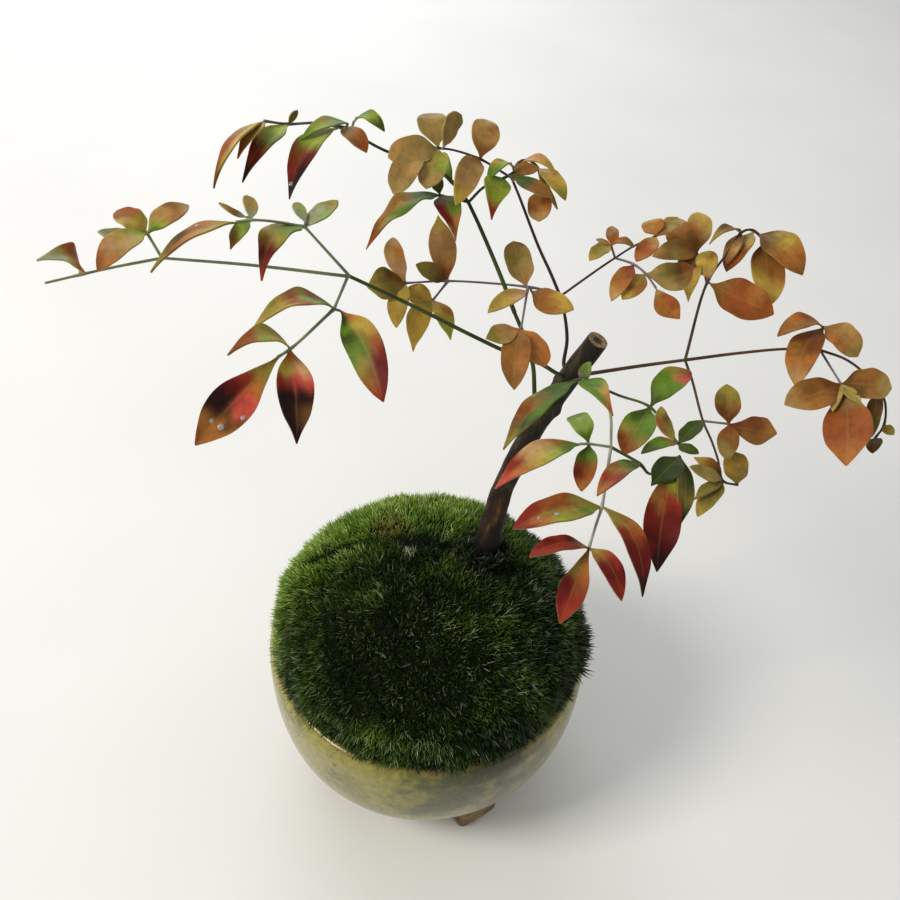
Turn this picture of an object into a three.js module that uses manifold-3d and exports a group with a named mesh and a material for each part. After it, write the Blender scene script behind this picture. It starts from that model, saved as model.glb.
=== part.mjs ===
// A small nandina with coloured leaves, growing from a moss-covered soil ball in a glazed three-footed bowl.
// Millimetres, +Z up, the picture's viewer on the -Y side.
import * as THREE from "three";
import { mergeVertices } from "three/addons/utils/BufferGeometryUtils.js";
import Module from "manifold-3d";

const wasm = await Module();
wasm.setup();

// Bowl
const RIM_RADIUS = 45;
const RIM_HEIGHT = 54;
const BELLY_RADIUS = 45.7;
const BELLY_HEIGHT = 48;
const BASE_RADIUS = 18;
const BASE_HEIGHT = 2;
const WALL = 4;
const FLOOR_THICKNESS = 6;
const RIM_ROLL = 1.2;
const SHOULDER_DROP = 3;
const SHOULDER_SWELL = 0.5;
const INNER_BASE_RADIUS = 14;
const ABOVE_RIM = 5;
const BOWL_SEGMENTS = 36;
const BOWL_ROUNDNESS = 2.6;
const PROFILE_STEPS = 6;
const FOOT_CIRCLE = 30.5;
const FOOT_WIDTH = 14;
const FOOT_DEPTH = 11;
const FOOT_HEIGHT = 17;
const FOOT_ROUNDING = 3;
const FOOT_SOLE_BEVEL = 1;
const FIRST_FOOT_ANGLE = -54.5;

// Soil ball and moss
const FIT = 0.3;
const SOIL_FIT = 0.5;
const SOIL_SEGMENTS = 20;
const MOSS_TOP = 87.5;
const MOSS_RADIUS = 45;
const MOSS_ABOVE_RIM = 0.6;
const MOSS_INSET = 0.8;
const MOSS_BELOW = 3;
const MOSS_THICKNESS = 3.5;
const MOSS_SEGMENTS = 30;
const MOSS_RINGS = 8;
const MOSS_LUMP = 0.9;
const MOSS_LUMPS_ROUND = 9;
const MOSS_LUMPS_DOWN = 5;

// Trunk
const TRUNK_ROOT_DIAMETER = 6.6;
const TRUNK_MIDDLE_DIAMETER = 5.5;
const TRUNK_TOP_DIAMETER = 4.9;
const TRUNK_SIDES = 12;

// Leaves and stalks
const BLADE_THICKNESS = 0.7;
const STALK_SIDES = 5;
const THIN_STALK_SIDES = 4;
const LEAST_SINK = 0.12;
const SINK_STEP = 0.047;
const SINK_STEPS = 5;
const LEAFLET_STALK = 0.9;
const THINNEST_STALK = 0.9;

// The picture's camera: focal length in picture points, pitch down, roll, and its place above the bowl's axis.
const FOCAL = 960;
const PITCH = THREE.MathUtils.degToRad(43);
const ROLL = THREE.MathUtils.degToRad(5.5);
const PICTURE_CENTRE = 450;
const EYE = new THREE.Vector3(1.1, -167.5, 282.5);
const AHEAD = new THREE.Vector3(0, Math.cos(PITCH), -Math.sin(PITCH));
const LEVEL_UP = new THREE.Vector3(0, Math.sin(PITCH), Math.cos(PITCH));
const LEVEL_RIGHT = new THREE.Vector3(1, 0, 0);
const RIGHT = LEVEL_RIGHT.clone().multiplyScalar(Math.cos(ROLL)).addScaledVector(LEVEL_UP, Math.sin(ROLL));
const UP = LEVEL_UP.clone().multiplyScalar(Math.cos(ROLL)).addScaledVector(LEVEL_RIGHT, -Math.sin(ROLL));

// A place read from the picture: across, down, and how deep it lies along the line of sight, in mm.
function seen([across, down, depth]) {
  return EYE.clone()
    .addScaledVector(AHEAD, depth)
    .addScaledVector(RIGHT, (depth * (across - PICTURE_CENTRE)) / FOCAL)
    .addScaledVector(UP, (-depth * (down - PICTURE_CENTRE)) / FOCAL);
}

// Solids
function solid(geometry) {
  const plain = geometry.clone();
  plain.deleteAttribute("normal");
  plain.deleteAttribute("uv");
  const merged = mergeVertices(plain, 1e-4);
  return new wasm.Manifold(
    new wasm.Mesh({
      numProp: 3,
      vertProperties: new Float32Array(merged.attributes.position.array),
      triVerts: new Uint32Array(merged.index.array),
    }),
  );
}

function meshOf(name, shape, colour, roughness) {
  const made = shape.getMesh();
  const geometry = new THREE.BufferGeometry();
  geometry.setAttribute("position", new THREE.BufferAttribute(new Float32Array(made.vertProperties), 3));
  geometry.setIndex(new THREE.BufferAttribute(new Uint32Array(made.triVerts), 1));
  geometry.computeVertexNormals();
  const mesh = new THREE.Mesh(
    geometry,
    new THREE.MeshStandardMaterial({ color: colour, roughness: roughness, metalness: 0, flatShading: true }),
  );
  mesh.name = name;
  return mesh;
}

function turned(profile, segments) {
  const points = profile.map(([radius, height]) => new THREE.Vector2(radius, height));
  const geometry = new THREE.LatheGeometry(points, segments);
  geometry.rotateX(Math.PI / 2);
  return solid(geometry);
}

function tube(points, diameter, sides, steps) {
  const round = new THREE.Shape();
  for (let i = 0; i < sides; i++) {
    const turn = (2 * Math.PI * i) / sides;
    const x = (Math.cos(turn) * diameter) / 2;
    const y = (Math.sin(turn) * diameter) / 2;
    if (i === 0) round.moveTo(x, y);
    else round.lineTo(x, y);
  }
  round.closePath();
  // The rings stand at the places read from the picture, not evenly along the curve.
  const path = points.length === 2
    ? new THREE.LineCurve3(points[0], points[1])
    : new THREE.CatmullRomCurve3(points, false, "centripetal");
  path.getPointAt = path.getPoint;
  path.getTangentAt = path.getTangent;
  return solid(new THREE.ExtrudeGeometry(round, { steps: steps, extrudePath: path, curveSegments: 1 }));
}

// A leaflet's half width along its length, as a share of its widest half, for the three outlines on the plant.
const OUTLINES = {
  pointed: [0.34, 0.84, 1, 0.84, 0.44],
  oval: [0.38, 0.88, 1, 0.86, 0.5],
  round: [0.46, 0.9, 1, 0.95, 0.7],
  late: [0.2, 0.54, 0.92, 1, 0.6],
  early: [0.54, 1, 0.9, 0.58, 0.28],
};
const STATIONS = [0.07, 0.26, 0.5, 0.73, 0.9];
const SHORT_LEAFLET = 11;
const TIP_WIDTH = 0.7;
const LEAST_ARCH = 0.8;
const MOST_ARCH = 2.6;
const STEEPEST_TILT = 68;

// Blade cross-sections from the stalk to the tip; lean is the midrib's sideways bow in the picture's plane,
// tilt turns the blade about its own length, from square to the viewer.
function leaflet([from, to, width, lean, tilt, outline], stalkPoint) {
  const base = seen(from);
  const tip = seen(to);
  const along = tip.clone().sub(base);
  const middle = base.clone().add(tip).multiplyScalar(0.5);
  const sight = EYE.clone().sub(middle).normalize();
  const left = along.clone().cross(sight).normalize().negate();
  const toViewer = left.clone().cross(along.clone().normalize()).normalize();
  if (toViewer.dot(sight) < 0) toViewer.negate();
  const angle = THREE.MathUtils.degToRad(Math.min(Math.max(tilt, -STEEPEST_TILT), STEEPEST_TILT));
  const across = left.clone().multiplyScalar(Math.cos(angle)).addScaledVector(toViewer, Math.sin(angle));
  const face = toViewer.clone().multiplyScalar(Math.cos(angle)).addScaledVector(left, -Math.sin(angle));
  const arch = Math.min(MOST_ARCH, Math.max(LEAST_ARCH, Math.abs(lean) / Math.max(0.2, Math.abs(Math.tan(angle)))));
  const halfWidth = width / 2 / Math.cos(angle);
  const rows = [[stalkPoint, LEAFLET_STALK / 2]];
  STATIONS.forEach((at, i) => {
    if (i % 2 === 0 && i !== 2 && along.length() < SHORT_LEAFLET) return;
    const bow = 4 * at * (1 - at);
    const centre = base.clone().addScaledVector(along, at).addScaledVector(left, lean * bow).addScaledVector(toViewer, arch * bow);
    rows.push([centre, Math.max(LEAFLET_STALK / 2, halfWidth * OUTLINES[outline][i])]);
  });
  rows.push([tip, TIP_WIDTH / 2]);
  const corners = [];
  for (const [centre, half] of rows)
    for (const [side, lift] of [[-1, -1], [1, -1], [1, 1], [-1, 1]])
      corners.push(centre.clone().addScaledVector(across, side * half).addScaledVector(face, (lift * BLADE_THICKNESS) / 2));
  const faces = [0, 2, 1, 0, 3, 2];
  for (let row = 0; row < rows.length - 1; row++)
    for (let k = 0; k < 4; k++) {
      const a = row * 4 + k;
      const b = row * 4 + ((k + 1) % 4);
      // The lower face is cut along the same diagonals as the upper one.
      if (k === 0) faces.push(a, b, a + 4, b, b + 4, a + 4);
      else faces.push(a, b, b + 4, a, b + 4, a + 4);
    }
  const end = (rows.length - 1) * 4;
  faces.push(end, end + 1, end + 2, end, end + 2, end + 3);
  const geometry = new THREE.BufferGeometry().setFromPoints(corners);
  geometry.setIndex(faces);
  const made = solid(geometry);
  if (made.volume() > 0) return made;
  for (let i = 0; i < faces.length; i += 3) [faces[i + 1], faces[i + 2]] = [faces[i + 2], faces[i + 1]];
  geometry.setIndex(faces);
  return solid(geometry);
}

// The point of a frond's stalks nearest to a leaflet's foot.
function nearestOn(stalks, point) {
  let best = null;
  for (const [, ...path] of stalks)
    for (let i = 0; i < path.length - 1; i++) {
      const at = new THREE.Line3(seen(path[i]), seen(path[i + 1])).closestPointToPoint(point, true, new THREE.Vector3());
      if (!best || at.distanceTo(point) < best.distanceTo(point)) best = at;
    }
  return best;
}

function frond({ stalks, leaflets }) {
  let shape = null;
  for (const [diameter, ...path] of stalks) {
    const points = path.map(seen);
    const thick = Math.max(THINNEST_STALK, diameter);
    const stalk = tube(points, thick, diameter < 1 ? THIN_STALK_SIDES : STALK_SIDES, points.length - 1);
    shape = shape ? shape.add(stalk) : stalk;
  }
  // Leaflets that meet at one node sink into the stalk to slightly different depths.
  leaflets.forEach((row, i) => {
    const foot = nearestOn(stalks, seen(row[0]));
    const outwards = seen(row[1]).sub(seen(row[0])).normalize();
    foot.addScaledVector(outwards, -(LEAST_SINK + SINK_STEP * (i % SINK_STEPS)));
    shape = shape.add(leaflet(row, foot));
  });
  return shape;
}

const CRUMB = 0.01;
const FINEST_DETAIL = 0.08;

// A frond cut clear of the trunk, with the pockets shut in between crossing blades filled.
function seated(shape, room) {
  const bodies = shape.subtract(room).simplify(FINEST_DETAIL).decompose();
  const [first, ...rest] = bodies.filter((body) => body.volume() > CRUMB);
  return rest.reduce((all, body) => all.add(body), first);
}

// Each stalk: its thickness in mm, then places read from the picture.
// Each leaflet: foot, tip, seen width and sideways lean in mm, tilt in degrees, outline.
const LEFT_FROND = {
  stalks: [
    [1.5, [567, 378, 226], [556, 373, 221], [541, 364, 217], [505, 351, 209], [472, 335.5, 203], [411, 305, 196.5], [350, 276.5, 190]],
    [1.1, [350, 276.5, 190], [250, 265, 180], [162, 258, 172]],
    [0.9, [162, 258, 172], [110, 268, 166], [45, 283, 158]],
    [1, [350, 276.5, 190], [302, 222, 182], [255, 220, 174], [236, 222, 172]],
    [0.9, [162, 258, 172], [147, 233, 169]],
    [1, [348, 276, 190], [335, 308, 184], [290, 349, 176], [278, 357, 174]],
  ],
  leaflets: [
    [[341, 311, 184], [384, 401, 176], 6.9, 1.2, 15, "pointed"],
    [[331, 306, 184], [253, 328, 174], 3.3, -3.5, 58, "early"],
    [[291, 349, 176], [227, 355, 168], 3.3, -3.2, 55, "early"],
    [[278, 357, 174], [195, 445, 166], 8.1, -0.2, 10, "late"],
    [[291, 352, 176], [297, 444, 169], 6.5, 0.5, -12, "pointed"],
    [[303, 226, 182], [262, 280, 174], 3.9, -2.5, 45, "early"],
    [[306, 222, 182], [338, 200, 186], 2, 0.3, -45, "oval"],
    [[306, 222, 182], [296, 202, 185], 1.8, 0, 30, "oval"],
    [[250, 218, 174], [247, 195, 177], 2.4, -0.4, 30, "oval"],
    [[247, 217, 174], [219, 202, 171], 1.3, 0.2, 45, "oval"],
    [[250, 222, 174], [230, 249, 170], 2.5, -0.6, 35, "pointed"],
    [[236, 222, 172], [150, 272, 162], 2.1, -2.2, 60, "early"],
    [[145, 231, 169], [117, 210, 170], 3.9, -0.4, 35, "round"],
    [[143, 234, 169], [97, 271, 162], 4, -1.5, 40, "oval"],
    [[149, 231, 169], [189, 205, 172], 3.4, 0.8, -45, "oval"],
    [[82, 274, 162], [36, 260, 155], 3.6, -2.7, 50, "early"],
  ],
};
const UPPER_FROND = {
  stalks: [
    [1.8, [540, 425, 239], [535.5, 410, 235], [533, 366, 225], [527, 343, 221], [514.5, 312.7, 216.5]],
    [1.6, [514.5, 312.7, 216.5], [500.6, 276, 214], [479, 225, 212], [468.4, 202.4, 211]],
    [1.2, [468.4, 202.4, 211], [452, 182, 212], [430, 165, 211], [386, 151, 207], [345, 128, 200]],
    [1, [345, 128, 200], [316, 123, 196], [288, 124, 192], [264, 121, 188]],
    [1, [468.4, 202.4, 211], [484, 187, 210], [506, 177, 210], [514, 172, 211]],
    [0.9, [468.4, 202.4, 211], [452, 198, 210], [440, 195, 209]],
  ],
  leaflets: [
    [[440, 196, 209], [366, 249, 197], 3.8, -3.2, 45, "oval"],
    [[441, 196, 209], [456, 241, 204], 5.4, 0.9, -15, "early"],
    [[440, 194, 209], [431, 176, 212], 2.8, -0.5, 25, "oval"],
    [[450, 184, 212], [443, 152, 215], 2, 0.2, -45, "oval"],
    [[505, 180, 209.5], [492, 220, 205], 5.8, -1, -16, "early"],
    [[513, 166, 212], [487, 181, 207], 2.1, -2, 50, "oval"],
    [[513, 177, 209], [552, 197, 205], 2.7, 0.4, -42, "oval"],
    [[517, 172, 211], [539, 168, 211], 2.2, 0.2, -40, "oval"],
    [[337, 128, 200], [289, 199, 188], 4.5, -2.9, 35, "pointed"],
    [[348, 123, 200], [298, 143, 192], 2.4, -1.8, 55, "early"],
    [[354, 121, 201], [385, 131, 197], 2, 2.1, -55, "oval"],
    [[340, 128, 200], [367, 152, 195], 3.4, 0.8, -38, "oval"],
    [[288, 124, 192], [242, 182, 183], 3.7, -1.5, 38, "early"],
    [[264, 121, 188], [213, 188, 178], 1.9, -2.3, 60, "early"],
    [[266, 123, 188], [237, 158, 182], 2.2, -0.8, 50, "early"],
    [[288, 122, 192], [298, 110, 192], 1.2, 0, 30, "oval"],
  ],
};
const MIDDLE_FROND = {
  stalks: [
    [1.5, [572, 374, 226.5], [564, 366, 229], [567, 341, 228], [565.3, 318.8, 226.5], [560.2, 296.3, 224.5]],
    [1.2, [560.2, 296.3, 224.5], [551, 274, 223], [538.8, 247.3, 221.5], [518.4, 194.3, 218.5], [511.6, 178, 217]],
    [0.9, [511.6, 178, 217], [480, 159, 211], [453, 150, 207], [437, 148, 204]],
    [0.9, [511.6, 178, 217], [518, 163, 217], [527, 160, 217], [538, 168, 216], [541, 190, 215]],
    [0.9, [560.2, 296.3, 224.5], [545, 290, 219], [528, 287, 217], [500, 284, 217.5], [448, 281, 212], [406, 283, 208]],
    [0.9, [528, 287, 217], [521, 329, 204]],
    [0.9, [448, 281, 212], [433, 300, 210]],
    [0.9, [560.2, 296.3, 224.5], [600, 268, 225], [615, 258, 225], [634, 246, 226], [656, 236, 227]],
    [0.9, [615, 258, 225], [611, 245, 225]],
    [0.9, [615, 258, 225], [633, 264, 223], [645, 273, 222], [656, 288, 221]],
  ],
  leaflets: [
    [[481, 158, 211], [485, 119, 215], 6.2, -0.5, 12, "oval"],
    [[480, 160, 211], [456, 205, 201], 5.5, -0.8, -12, "oval"],
    [[440, 148, 204], [433, 113, 208], 5.9, 0.6, 15, "round"],
    [[444, 148, 204], [462, 115, 207], 3.4, 0.9, 40, "round"],
    [[437, 148, 204], [388, 157, 199], 5.7, -0.5, 20, "round"],
    [[439, 150, 204], [426, 188, 199], 5.5, 0.2, 10, "round"],
    [[420, 153, 203], [393, 194, 199], 5.5, -0.8, 15, "round"],
    [[521, 160, 217], [558, 176, 213], 2, 2.1, -52, "early"],
    [[541, 168, 216], [566, 200, 211], 3.2, 1.1, -40, "oval"],
    [[534, 165, 216], [512, 181, 212], 2.7, -0.9, 35, "oval"],
    [[539, 170, 216], [558, 209, 212], 1.1, 0, -50, "oval"],
    [[541, 191, 215], [539, 221, 212], 5.2, -0.1, 8, "round"],
    [[527, 284, 217], [513, 241, 221], 5.9, 0, 12, "round"],
    [[526, 291, 216], [488, 312, 206], 3.3, -0.7, 35, "oval"],
    [[531, 291, 217], [574, 309, 213], 5.4, -0.6, -25, "oval"],
    [[519, 328, 204], [486, 338, 200], 4.2, 0, 28, "late"],
    [[521, 331, 204], [514, 390, 199], 6.1, -0.5, 8, "oval"],
    [[522, 330, 204], [546, 366, 200], 4.4, 0.4, -30, "round"],
    [[447, 279, 212], [438, 215, 216], 6, 0, 12, "pointed"],
    [[447, 279, 212], [416, 264, 210], 3.7, -0.2, 25, "oval"],
    [[432, 300, 210], [405, 290, 209], 4.4, -0.1, 30, "oval"],
    [[432, 302, 210], [413, 352, 206], 5, -1.5, -10, "pointed"],
    [[434, 301, 210], [451, 340, 207], 3.7, 0.9, -28, "pointed"],
    [[406, 281, 208], [393, 237, 211], 4.1, 0.8, 18, "oval"],
    [[404, 283, 208], [367, 287, 204], 6.6, -0.4, 15, "late"],
    [[406, 285, 208], [396, 328, 205], 4.3, -0.8, 20, "oval"],
    [[611, 245, 225], [613, 226, 227], 3, -0.1, 15, "oval"],
    [[612, 244, 225], [635, 247, 223], 1.4, 1.4, -55, "oval"],
    [[610, 244, 225], [596, 239, 225], 0.9, -0.2, 45, "oval"],
    [[610, 245, 225], [589, 260, 222], 3.1, -0.6, 35, "oval"],
    [[634, 265, 223], [611, 301, 219], 4.1, -0.6, 20, "oval"],
    [[645, 274, 222], [622, 299, 219], 4.5, 0, 15, "oval"],
    [[645, 274, 222], [693, 268, 224], 6.5, -1.5, -25, "oval"],
    [[657, 289, 221], [680, 319, 218], 5, -0.6, -18, "late"],
    [[657, 238, 227], [650, 220, 229], 5, -0.2, 10, "round"],
    [[658, 238, 227], [636, 261, 223], 4, 0, 30, "oval"],
    [[657, 237, 227], [678, 217, 230], 3.6, 0, -30, "oval"],
  ],
};
const RIGHT_FROND = {
  stalks: [
    [1.5, [572, 377, 226], [588, 374, 220], [640, 366, 221], [685, 360, 222]],
    [1.2, [685, 360, 222], [740, 353, 225], [786, 349, 227], [820, 350, 228]],
    [1, [820, 350, 228], [845, 359, 227], [862, 371, 226], [878, 388, 225], [885, 402, 224], [884, 425, 223], [875, 438, 222]],
    [1.1, [685, 360, 222], [707, 283, 231], [725, 256, 234], [742, 232, 237], [752, 230, 238], [765, 240, 238]],
    [0.9, [707, 283, 231], [703, 268, 234], [697, 253, 237]],
    [1, [685, 360, 222], [692, 380, 222], [703, 421, 222], [712, 442, 221], [718, 460, 220], [723, 481, 219], [738, 485, 219]],
    [0.9, [703, 421, 222], [729, 424, 222]],
    [0.9, [820, 350, 228], [823, 326, 229]],
    [0.9, [820, 350, 228], [841, 384, 224]],
  ],
  leaflets: [
    [[711, 284, 231], [774, 314, 227], 8.6, 0, -25, "oval"],
    [[708, 278, 231], [700, 253, 233], 4.8, -1, -30, "round"],
    [[697, 253, 237], [698, 212, 241], 6, -0.5, 10, "oval"],
    [[696, 253, 237], [675, 218, 240], 6.4, 1.2, 15, "oval"],
    [[695, 254, 237], [652, 256, 233], 4.9, -1.2, 28, "oval"],
    [[697, 255, 237], [688, 302, 232], 4.7, -0.7, 15, "pointed"],
    [[696, 254, 237], [678, 277, 233], 4.2, -0.5, 20, "oval"],
    [[741, 233, 237], [709, 244, 232], 2.1, -2.4, 58, "early"],
    [[742, 233, 237], [727, 264, 233], 3.4, -0.5, 35, "oval"],
    [[754, 231, 238], [726, 271, 233], 4.7, -0.7, 40, "oval"],
    [[759, 233, 238], [803, 275, 231], 7.1, 1.9, -30, "oval"],
    [[766, 241, 238], [773, 303, 231], 7.6, -0.2, -20, "oval"],
    [[821, 327, 229], [777, 336, 224], 3.5, -2.6, 50, "oval"],
    [[822, 328, 229], [795, 386, 223], 7.1, -1.8, 20, "oval"],
    [[825, 327, 229], [858, 357, 225], 5.9, 1.4, -32, "round"],
    [[840, 384, 224], [785, 404, 219], 7.4, 0.1, 28, "oval"],
    [[842, 386, 224], [846, 466, 216], 10.3, 0.9, 8, "late"],
    [[843, 384, 224], [892, 388, 220], 6.6, 0.6, -36, "round"],
    [[842, 385, 224], [861, 403, 218], 2.1, 0, -50, "oval"],
    [[841, 386, 224], [832, 411, 219], 1.9, 0, 45, "oval"],
    [[878, 389, 225], [871, 437, 222], 3.3, -0.2, 35, "oval"],
    [[884, 425, 223], [894, 435, 221], 2.2, 0, -30, "oval"],
    [[876, 438, 222], [872, 453, 219], 3.2, 0, 25, "oval"],
    [[729, 423, 222], [727, 384, 226], 5.8, 0, 10, "oval"],
    [[730, 424, 222], [777, 433, 218], 6.2, -0.3, -30, "late"],
    [[729, 426, 222], [727, 460, 218], 4.8, 0, 12, "oval"],
    [[738, 484, 219], [736, 452, 222], 5.4, 0.2, 12, "round"],
    [[722, 479, 219], [694, 457, 221], 3.2, -0.7, 35, "pointed"],
    [[722, 480, 219], [690, 466, 216], 2.7, 0, 35, "oval"],
    [[722, 482, 219], [694, 499, 214], 2.5, -0.5, 40, "pointed"],
    [[723, 482, 219], [697, 516, 213], 3.8, -0.3, 35, "oval"],
  ],
};
const FRONT_FROND = {
  stalks: [
    [1.5, [567, 383, 227], [576, 380, 219], [583, 380, 213]],
    [1.1, [583, 380, 213], [600, 390, 207], [610, 412, 199], [611, 447, 190]],
    [1, [611, 447, 190], [606, 480, 183], [602, 506, 178], [595, 528, 175], [589, 548, 172]],
    [1, [583, 380, 213], [618, 395, 207], [650, 407, 201], [666, 428, 197], [678, 444, 195]],
    [0.9, [611, 447, 190], [589, 444, 186], [579, 444, 184]],
    [1, [611, 447, 190], [640, 464, 189], [650, 474, 187], [668, 466, 187], [680, 456, 188]],
  ],
  leaflets: [
    [[575, 381, 215], [503, 449, 198], 4.5, -1.9, 45, "pointed"],
    [[584, 380, 213], [613, 415, 204], 3.9, 1.2, -30, "early"],
    [[577, 379, 215], [590, 362, 211], 2.7, 0, -25, "oval"],
    [[652, 406, 201], [691, 371, 204], 5.5, 1.4, -28, "oval"],
    [[649, 408, 201], [624, 454, 194], 6.6, -0.2, 20, "oval"],
    [[675, 442, 195], [661, 406, 199], 2.7, 0.8, 35, "oval"],
    [[679, 443, 195], [702, 420, 198], 3.1, 0.2, -35, "oval"],
    [[675, 445, 195], [641, 453, 190], 2.2, -1.1, 45, "oval"],
    [[680, 446, 195], [699, 453, 192], 1.8, 0, -45, "oval"],
    [[589, 443, 186], [571, 416, 190], 3.9, -1.1, 25, "round"],
    [[579, 444, 184], [495, 488, 173], 4.5, -1.9, 38, "pointed"],
    [[589, 446, 186], [581, 491, 181], 4.2, 0, 15, "oval"],
    [[640, 464, 189], [597, 495, 182], 3.3, -1.5, 38, "oval"],
    [[600, 507, 178], [513, 528, 168], 5, -1.5, 40, "oval"],
    [[604, 507, 178], [643, 597, 170], 2.9, 2.9, -35, "pointed"],
    [[588, 548, 172], [529, 556, 165], 2.6, -1.6, 50, "oval"],
    [[592, 549, 172], [623, 601, 166], 3.5, 1.6, -28, "early"],
    [[589, 549, 172], [560, 623, 165], 4.7, 0, 10, "late"],
    [[676, 457, 188], [657, 572, 179], 6.7, -0.7, -10, "late"],
    [[680, 456, 188], [651, 485, 183], 5, 0, 25, "pointed"],
    [[682, 456, 188], [678, 529, 182], 3.1, 1.3, -38, "pointed"],
  ],
};

// Bowl: the same swelling curve, from its foot ring to its belly, gives the outside and the smaller inside.
function swell(radius, startRadius, height, bottom) {
  const power = 2 / BOWL_ROUNDNESS;
  const start = Math.asin(Math.pow(startRadius / radius, 1 / power));
  const points = [];
  for (let i = 0; i <= PROFILE_STEPS; i++) {
    const turn = start + ((Math.PI / 2 - start) * i) / PROFILE_STEPS;
    points.push([radius * Math.pow(Math.sin(turn), power), height - (height - bottom) * Math.pow(Math.max(0, Math.cos(turn)), power)]);
  }
  return points;
}

const outside = swell(BELLY_RADIUS, BASE_RADIUS, BELLY_HEIGHT, BASE_HEIGHT);
const insideRadius = BELLY_RADIUS - WALL;
const insideCurve = swell(insideRadius, INNER_BASE_RADIUS, BELLY_HEIGHT, BASE_HEIGHT + FLOOR_THICKNESS);
const outerPart = [[0, outside[0][1]], ...outside, [RIM_RADIUS + SHOULDER_SWELL, RIM_HEIGHT - SHOULDER_DROP], [RIM_RADIUS, RIM_HEIGHT - RIM_ROLL], [RIM_RADIUS - RIM_ROLL, RIM_HEIGHT], [0, RIM_HEIGHT]];
const mouth = RIM_RADIUS - WALL;
const hollowTop = RIM_HEIGHT + ABOVE_RIM;
const hollowPart = [[0, insideCurve[0][1]], ...insideCurve, [mouth, RIM_HEIGHT - RIM_ROLL], [mouth + RIM_ROLL, RIM_HEIGHT], [mouth + RIM_ROLL, hollowTop], [0, hollowTop]];
function outward(shape, profile, segments) {
  return shape.volume() > 0 ? shape : turned([...profile].reverse(), segments);
}
function lathe(profile, segments) {
  return outward(turned(profile, segments), profile, segments);
}
let bowl = lathe(outerPart, BOWL_SEGMENTS);
for (const turn of [0, 120, 240]) {
  const angle = THREE.MathUtils.degToRad(FIRST_FOOT_ANGLE + turn);
  const halfDeep = FOOT_DEPTH / 2 - FOOT_SOLE_BEVEL;
  const halfWide = FOOT_WIDTH / 2 - FOOT_SOLE_BEVEL;
  const r = FOOT_ROUNDING;
  const sole = new THREE.Shape();
  sole.moveTo(-halfDeep + r, -halfWide);
  sole.lineTo(halfDeep - r, -halfWide);
  sole.quadraticCurveTo(halfDeep, -halfWide, halfDeep, -halfWide + r);
  sole.lineTo(halfDeep, halfWide - r);
  sole.quadraticCurveTo(halfDeep, halfWide, halfDeep - r, halfWide);
  sole.lineTo(-halfDeep + r, halfWide);
  sole.quadraticCurveTo(-halfDeep, halfWide, -halfDeep, halfWide - r);
  sole.lineTo(-halfDeep, -halfWide + r);
  sole.quadraticCurveTo(-halfDeep, -halfWide, -halfDeep + r, -halfWide);
  const block = new THREE.ExtrudeGeometry(sole, {
    depth: FOOT_HEIGHT - 2 * FOOT_SOLE_BEVEL,
    bevelThickness: FOOT_SOLE_BEVEL,
    bevelSize: FOOT_SOLE_BEVEL,
    bevelSegments: 1,
    curveSegments: 3,
  });
  block.translate(0, 0, FOOT_SOLE_BEVEL);
  block.rotateZ(angle);
  block.translate(FOOT_CIRCLE * Math.cos(angle), FOOT_CIRCLE * Math.sin(angle), 0);
  bowl = bowl.add(solid(block));
}
bowl = bowl.subtract(lathe(hollowPart, BOWL_SEGMENTS));

// Trunk: a tapering stem with a flat sawn top, bent along its centre line.
const TRUNK_FOOT = new THREE.Vector3(12.6, 2.5, 62);
const trunkLine = new THREE.CatmullRomCurve3(
  [TRUNK_FOOT, seen([493, 520, 256]), seen([505.5, 482, 250]), seen([526.5, 441, 241.5]), seen([542.5, 416, 235]), seen([565, 383, 227]), seen([598, 340, 216.5])],
  false,
  "centripetal",
);
const TRUNK_RINGS = 11;
function stem(extra) {
  const geometry = new THREE.CylinderGeometry(1, 1, 1, TRUNK_SIDES, TRUNK_RINGS);
  const place = geometry.attributes.position;
  const frames = trunkLine.computeFrenetFrames(TRUNK_RINGS, false);
  for (let i = 0; i < place.count; i++) {
    const at = place.getY(i) + 0.5;
    const ring = Math.round(at * TRUNK_RINGS);
    const radius =
      (at < 0.5
        ? THREE.MathUtils.lerp(TRUNK_ROOT_DIAMETER, TRUNK_MIDDLE_DIAMETER, at * 2)
        : THREE.MathUtils.lerp(TRUNK_MIDDLE_DIAMETER, TRUNK_TOP_DIAMETER, at * 2 - 1)) / 2 + extra;
    const spot = trunkLine
      .getPointAt(ring / TRUNK_RINGS)
      .addScaledVector(frames.normals[ring], place.getX(i) * radius)
      .addScaledVector(frames.binormals[ring], place.getZ(i) * radius)
      .addScaledVector(frames.tangents[ring], ring === 0 ? -extra : 0);
    place.setXYZ(i, spot.x, spot.y, spot.z);
  }
  const made = solid(geometry);
  if (made.volume() > 0) return made;
  const index = geometry.index.array;
  for (let i = 0; i < index.length; i += 3) [index[i + 1], index[i + 2]] = [index[i + 2], index[i + 1]];
  return solid(geometry);
}
const trunk = stem(0);
const trunkRoom = stem(FIT);

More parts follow.
